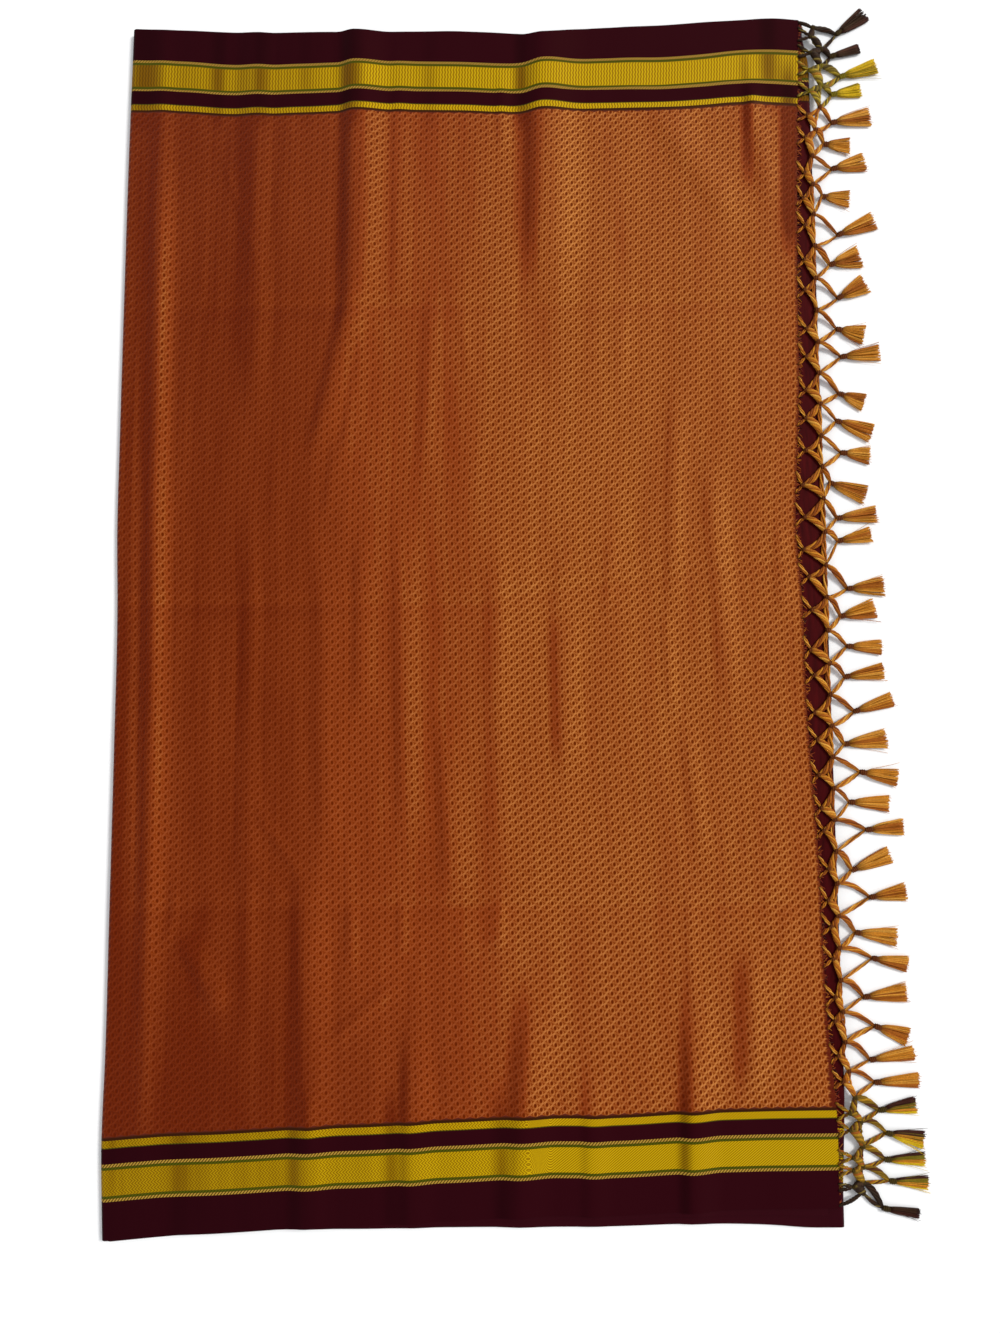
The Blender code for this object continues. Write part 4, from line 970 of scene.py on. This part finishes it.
def make_tassel(number, tassel, material):
    """A bound head and a brush of fibres that fans out on the floor."""
    rng = random.Random(100 + number)
    yarn = Yarn()
    knot = np.array((tassel.knot_x, tassel.knot_y, 0.0))
    aim = np.array((tassel.tip_x, tassel.tip_y, 0.0)) - knot
    reach = np.linalg.norm(aim)
    aim /= reach
    across = np.array((-aim[1], aim[0], 0.0))
    bind(yarn, knot + aim * HEAD_LENGTH / 2 + UP * HEAD_Z, aim, HEAD, KNOT_COLOURS[tassel.yarn], rng)
    turn = rng.uniform(0, 6)
    share = np.linspace(0, 1, 7)
    out_of_head = smooth_step(0, 0.6, share)
    paths = []
    radii = []
    colours = []
    for fibre in range(FIBRES + WISPS):
        wisp = fibre >= FIBRES
        fan, stray, longer = WISP_SHAPE if wisp else FIBRE_SHAPE
        place = rng.uniform(-1, 1)
        level = rng.uniform(-1, 1) * math.sqrt(max(1 - place * place * 0.6, 0.1))
        length = (reach - HEAD_LENGTH * 0.8) * rng.uniform(0.97, 1.05)
        spread = mix(HEAD_HALF_WIDTH * 0.75, tassel.width / 2 * fan, share ** 0.62) * place
        spread = spread + rng.uniform(-1, 1) * stray * share ** 2
        head_z = HEAD_Z + level * HEAD_HALF_HEIGHT * 0.8
        z = mix(head_z, SKIRT_Z + level * SKIRT_HALF_HEIGHT, out_of_head)
        forward = HEAD_LENGTH * 0.8 + length * longer * share
        path = knot + np.outer(forward, aim) + np.outer(spread, across)
        path[:, 2] = np.maximum(z, FIBRE_LOWEST)
        paths.append(path)
        thick = WISP_RADIUS if wisp else rng.uniform(*FIBRE_RADIUS)
        radii.append(thick * (1 - 0.2 * share ** 3))
        shade = fibre_colour(tassel, place, turn, rng)
        # Random tone per fibre, with painted shade darkening each fibre near the head
        tone_and_head_shade = rng.uniform(0.85, 1.12) * (0.55 + 0.45 * smooth_step(0.0, 0.4, share))
        colours.append(np.outer(tone_and_head_shade, shade))
    yarn.sweep(np.array(paths), np.array(radii), np.array(colours), 4)
    return yarn.thing(f"tassel_brush_{number:02d}", material)


class Formula:
    """A shader value. Arithmetic on it adds math nodes to its material."""

    def __init__(self, tree, socket):
        self.tree = tree
        self.socket = socket

    def math(self, operation, *others):
        node = self.tree.nodes.new("ShaderNodeMath")
        node.operation = operation
        for place, value in enumerate((self, *others)):
            plug(self.tree, value, node.inputs[place])
        return Formula(self.tree, node.outputs[0])

    def __add__(self, other):
        return self.math("ADD", other)

    def __sub__(self, other):
        return self.math("SUBTRACT", other)

    def __mul__(self, other):
        return self.math("MULTIPLY", other)

    def __truediv__(self, other):
        return self.math("DIVIDE", other)

    def inverse(self):
        return (self * -1.0) + 1.0

    def fract(self):
        return self.math("FRACT")

    def abs(self):
        return self.math("ABSOLUTE")

    def over(self, low, high):
        """0 under low, 1 over high, smooth between."""
        node = self.tree.nodes.new("ShaderNodeMapRange")
        node.interpolation_type = "SMOOTHSTEP"
        self.tree.links.new(self.socket, node.inputs["Value"])
        node.inputs["From Min"].default_value = low
        node.inputs["From Max"].default_value = high
        return Formula(self.tree, node.outputs["Result"])

    def between(self, low, high, soft):
        return self.over(low - soft, low + soft) * self.over(high - soft, high + soft).inverse()


def plug(tree, value, socket):
    if isinstance(value, Formula):
        tree.links.new(value.socket, socket)
    else:
        socket.default_value = value


def blend_colours(tree, share, first, second, how="MIX"):
    node = tree.nodes.new("ShaderNodeMix")
    node.data_type = "RGBA"
    node.blend_type = how
    plug(tree, share, node.inputs[0])
    for value, socket in ((first, node.inputs[6]), (second, node.inputs[7])):
        plug(tree, (*value, 1.0) if isinstance(value, tuple) else value, socket)
    return Formula(tree, node.outputs[2])


def ramp(tree, share, stops):
    node = tree.nodes.new("ShaderNodeValToRGB")
    tree.links.new(share.socket, node.inputs[0])
    elements = node.color_ramp.elements
    while len(elements) < len(stops):
        elements.new(0.5)
    for element, (place, colour) in zip(elements, stops):
        element.position = place
        element.color = (*colour, 1.0)
    return Formula(tree, node.outputs[0])


def attribute_of(tree, name, output):
    node = tree.nodes.new("ShaderNodeAttribute")
    node.attribute_name = name
    return Formula(tree, node.outputs[output])


def noise(tree, where, scale, detail):
    node = tree.nodes.new("ShaderNodeTexNoise")
    tree.links.new(where, node.inputs["Vector"])
    node.inputs["Scale"].default_value = scale
    node.inputs["Detail"].default_value = detail
    return Formula(tree, node.outputs[0])


def streaks(tree, weave, scale_across, scale_along, detail):
    """Noise in the weave's own directions."""
    stretch = tree.nodes.new("ShaderNodeMapping")
    tree.links.new(weave, stretch.inputs["Vector"])
    stretch.inputs["Scale"].default_value = (scale_across, scale_along, 1.0)
    return noise(tree, stretch.outputs[0], 1.0, detail)


def weave_places(tree):
    """The weave's own coordinates: as a vector, along the stole and across it."""
    node = tree.nodes.new("ShaderNodeUVMap")
    node.uv_map = "weave"
    parts = tree.nodes.new("ShaderNodeSeparateXYZ")
    tree.links.new(node.outputs[0], parts.inputs[0])
    return node.outputs[0], Formula(tree, parts.outputs[0]), Formula(tree, parts.outputs[1])


def new_material(name, roughness, shine, shine_colour):
    """A material whose shine takes the silk's own colour."""
    material = bpy.data.materials.new(name)
    material.use_nodes = True
    shader = material.node_tree.nodes["Principled BSDF"]
    shader.inputs["Roughness"].default_value = roughness
    shader.inputs["Specular IOR Level"].default_value = shine
    shader.inputs["Specular Tint"].default_value = (*shine_colour, 1.0)
    return material, material.node_tree, shader


def diamond_lattice(run, along):
    """Masks of the brocade: bright strokes, the ring in each diamond, and its dark eye."""
    across = run / MOTIF_X
    up = along / MOTIF_Y
    rising = (across + up).fract() - 0.5
    falling = (across - up).fract() - 0.5
    stroke_up = rising.abs().over(0.4, 0.47)
    stroke_down = falling.abs().over(0.41, 0.48)
    inner_x = (rising + falling) * (MOTIF_X / 2)
    inner_y = (rising - falling) * (MOTIF_Y / 2)
    flat = inner_x * inner_x
    tall = inner_y * inner_y
    leaning = (inner_x * inner_y).over(-1.5e-6, 1.0e-6) * 0.65 + 0.35
    ring = (flat + tall * 0.55).between(1.7e-6, 4.2e-6, 0.5e-6) * leaning
    eye = (flat * 2.4 + tall * 0.8).over(0.8e-6, 2.2e-6).inverse()
    return stroke_up, stroke_down, ring, eye


def band_masks(border):
    """A mask for each border colour, from the depth inside the selvedge."""
    masks = {}
    start = -1.0
    end = 0.0
    for band in BANDS:
        end += band.near
        mask = border.between(start, end, BAND_SOFT)
        masks[band.name] = masks[band.name] + mask if band.name in masks else mask
        start = end
    return masks, end


def pulse(value):
    """Each repeat of a value as a thread's rounded width, from 0 to 1 and back."""
    return value.over(0.1, 0.45) * value.over(0.65, 0.98).inverse()


def border_colours(tree, masks, run, along, tone_and_painted_shade, ground):
    """Ground with the woven border bands laid over it, and their threads' relief."""
    far_side = along.over(0.45, 0.5)
    herringbone = run.over(0.22, 0.24).math("MAXIMUM", far_side)
    zigzag = ((along / ZIGZAG).fract() - 0.5).abs() * ZIGZAG
    lean = zigzag * herringbone + along * herringbone.inverse()
    chevrons = pulse((run / TWILL + lean * (far_side * -0.65 + 1.0) / CHEVRON).fract())
    rope = pulse(((run + along * 0.9) / TWILL).fract())
    # Painted light and shade of the border: yellow and maroon blend between painted shaded and lit
    # copies by the painted tone
    painted_lit_share = tone_and_painted_shade.over(-0.45, 0.47)
    yellow_painted_shade = blend_colours(tree, chevrons, *YELLOW_PAINTED_SHADE)
    yellow_painted_lit = blend_colours(tree, chevrons, *YELLOW_PAINTED_LIT)
    bands = (
        ("yellow", blend_colours(tree, painted_lit_share, yellow_painted_shade, yellow_painted_lit)),
        ("tan", blend_colours(tree, rope, *TAN)),
        ("green", blend_colours(tree, rope, *GREEN)),
        ("maroon", blend_colours(tree, painted_lit_share, *MAROON)),
        ("dark", BORDER_DARK),
    )
    for name, colour in bands:
        ground = blend_colours(tree, masks[name], ground, colour)
    return ground, chevrons * masks["yellow"] * 0.0001 + rope * masks["tan"] * 0.00016


def surface_bump(tree, shader, height, strength):
    node = tree.nodes.new("ShaderNodeBump")
    node.inputs["Strength"].default_value = strength
    node.inputs["Distance"].default_value = 1.0
    tree.links.new(height.socket, node.inputs["Height"])
    tree.links.new(node.outputs[0], shader.inputs["Normal"])


def brocade_silk():
    """The pallu: golden diamonds on shot red silk between woven borders."""
    material, tree, shader = new_material("brocade_silk", 0.42, 0.22, (1.0, 0.42, 0.05))
    weave, run, along = weave_places(tree)
    border = attribute_of(tree, "border", "Fac")
    fine = streaks(tree, weave, 260.0, 9.0, 2.0)
    soft = streaks(tree, weave, 60.0, 6.0, 2.0)
    # The shot silk's painted light and shade, from the top sheet's attribute, with random streaks
    tone_and_painted_shade = attribute_of(tree, "tone_and_painted_shade", "Fac") + (fine - 0.5) * 0.16 + (soft - 0.5) * 0.22
    stroke_up, stroke_down, ring, eye = diamond_lattice(run, along)
    ground = ramp(tree, tone_and_painted_shade, GROUND_SHADES)
    thread = ramp(tree, tone_and_painted_shade, THREAD_SHADES)
    grain = streaks(tree, weave, 900.0, 700.0, 1.0)
    patchy = streaks(tree, weave, 170.0, 170.0, 1.0)
    strokes = stroke_up.math("MAXIMUM", stroke_down * 0.45) * (patchy.over(0.22, 0.52) * 0.7 + 0.3)
    strokes = strokes.math("MAXIMUM", ring) * ((grain - 0.3) * 1.2 + 0.75)
    field = blend_colours(tree, strokes, ground, thread)
    # The eye takes the painted light and shade of the silk around it
    pit = blend_colours(tree, tone_and_painted_shade, *EYE)
    field = blend_colours(tree, eye * (tone_and_painted_shade.over(0.0, 0.45) * 0.35 + 0.55), field, pit)
    masks, edge = band_masks(border)
    scallop = ((run / MOTIF_X).fract() - 0.5).abs() * 0.003
    masks["dark"] = masks["dark"] + border.between(edge, edge + 0.0008, 0.0003) * 0.5
    field = blend_colours(tree, (border - scallop).over(edge, edge + 0.0004), SCALLOP, field)
    ragged = streaks(tree, weave, 120.0, 900.0, 2.0)
    bare = along.over(0.07, 0.17).inverse() * 0.0025 + 0.0018
    header = (run - bare + (ragged - 0.5) * 0.007).over(-0.0012, 0.0012)
    field = blend_colours(tree, header, BARE_WEAVE, field)
    colour, border_relief = border_colours(tree, masks, run, along, tone_and_painted_shade, field)
    tree.links.new(colour.socket, shader.inputs["Base Color"])
    in_field = border.over(edge, edge + 0.001)
    relief = (stroke_up.math("MAXIMUM", stroke_down * 0.8) + ring - eye) * in_field * 0.00016
    surface_bump(tree, shader, relief + border_relief + fine * 0.00006, 0.8)
    rough = blend_colours(tree, strokes * in_field, (0.52, 0.52, 0.52), (0.36, 0.36, 0.36))
    tree.links.new(rough.socket, shader.inputs["Roughness"])
    glossy = masks["maroon"] * -0.19 + 0.22
    tree.links.new(glossy.socket, shader.inputs["Specular IOR Level"])
    return material


def crimson_silk():
    """The stole's body, seen at the edges of the hidden layers, with painted shade on its border bands
    near the far selvedge.
    """
    material, tree, shader = new_material("crimson_silk", 0.5, 0.1, (1.0, 0.2, 0.2))
    weave, run, along = weave_places(tree)
    tone_and_painted_shade = streaks(tree, weave, 300.0, 40.0, 3.0)
    ribs = ((along / RIB).fract() - 0.5).abs()
    silk = ramp(tree, tone_and_painted_shade + ribs * 0.3, CRIMSON_SHADES)
    masks, _ = band_masks(attribute_of(tree, "border", "Fac"))
    # Painted shade: darkens the border bands near the far selvedge
    shaded = tone_and_painted_shade - along.over(0.84, 0.88) * 1.1
    colour, border_relief = border_colours(tree, masks, run, along, shaded, silk)
    tree.links.new(colour.socket, shader.inputs["Base Color"])
    surface_bump(tree, shader, ribs * 0.0001 + border_relief, 0.7)
    return material


def yarn_material(name):
    """Lustrous yarn whose colour comes from each strand, with fine fibres along it."""
    material, tree, shader = new_material(name, 0.5, 0.25, (1.0, 0.62, 0.25))
    where = tree.nodes.new("ShaderNodeTexCoord")
    grain = noise(tree, where.outputs["Object"], 1400.0, 2.0)
    shade = ramp(tree, grain, ((0.3, (0.62, 0.55, 0.5)), (0.7, (1.25, 1.2, 1.1))))
    colour = blend_colours(tree, 1.0, attribute_of(tree, "yarn_colour", "Color"), shade, "MULTIPLY")
    tree.links.new(colour.socket, shader.inputs["Base Color"])
    surface_bump(tree, shader, grain * 0.0002, 0.6)
    return material


def make_floor():
    bpy.ops.mesh.primitive_plane_add(size=FLOOR_SIZE, location=(0.0, 0.0, FLOOR_Z))
    floor = bpy.context.object
    floor.name = "floor"
    material, _, shader = new_material("floor_white", 0.9, 0.1, (1.0, 1.0, 1.0))
    shader.inputs["Base Color"].default_value = FLOOR_COLOUR
    floor.data.materials.append(material)


def make_camera():
    look = (CAMERA_TARGET - CAMERA_PLACE).normalized()
    right = look.cross(CAMERA_UP).normalized()
    up = right.cross(look)
    data = bpy.data.cameras.new("camera")
    data.sensor_fit = "VERTICAL"
    data.sensor_height = SENSOR
    data.sensor_width = SENSOR
    data.lens = CAMERA_LENS
    camera = bpy.data.objects.new("camera", data)
    bpy.context.scene.collection.objects.link(camera)
    turn = Matrix((right, up, -look)).transposed().to_4x4()
    camera.matrix_world = Matrix.Translation(CAMERA_PLACE + SHIFT) @ turn
    bpy.context.scene.camera = camera


def make_lights():
    world = bpy.data.worlds.new("studio")
    world.use_nodes = True
    background = world.node_tree.nodes["Background"]
    background.inputs["Color"].default_value = SKY_COLOUR
    background.inputs["Strength"].default_value = SKY_STRENGTH
    bpy.context.scene.world = world
    data = bpy.data.lights.new("window", "SUN")
    data.energy = SUN_STRENGTH
    data.angle = SUN_SPREAD
    data.color = SUN_COLOUR
    sun = bpy.data.objects.new("window", data)
    sun.rotation_euler = SUN_FROM.to_track_quat("Z", "Y").to_euler()
    bpy.context.scene.collection.objects.link(sun)
    bpy.context.scene.view_settings.view_transform = "Standard"
    bpy.context.scene.view_settings.look = "None"


def main():
    make_camera()
    make_lights()
    make_floor()
    top = make_top_sheet(brocade_silk())
    lower = make_lower_sheet(crimson_silk())
    net = make_net(yarn_material("net_yarn"))
    fringe = [net]
    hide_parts("pallu_layer")
    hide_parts("under_layers")
    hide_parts("fringe_net")
    yarns = {name: yarn_material(f"{name}_yarn") for name in YARNS}
    for number, tassel in enumerate(TASSELS, 1):
        brush = make_tassel(number, tassel, yarns[tassel.yarn])
        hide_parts(f"tassel_{number:02d}")
        fringe.append(brush)
    for piece in (top, lower, *fringe):
        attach(piece, "root")


main()
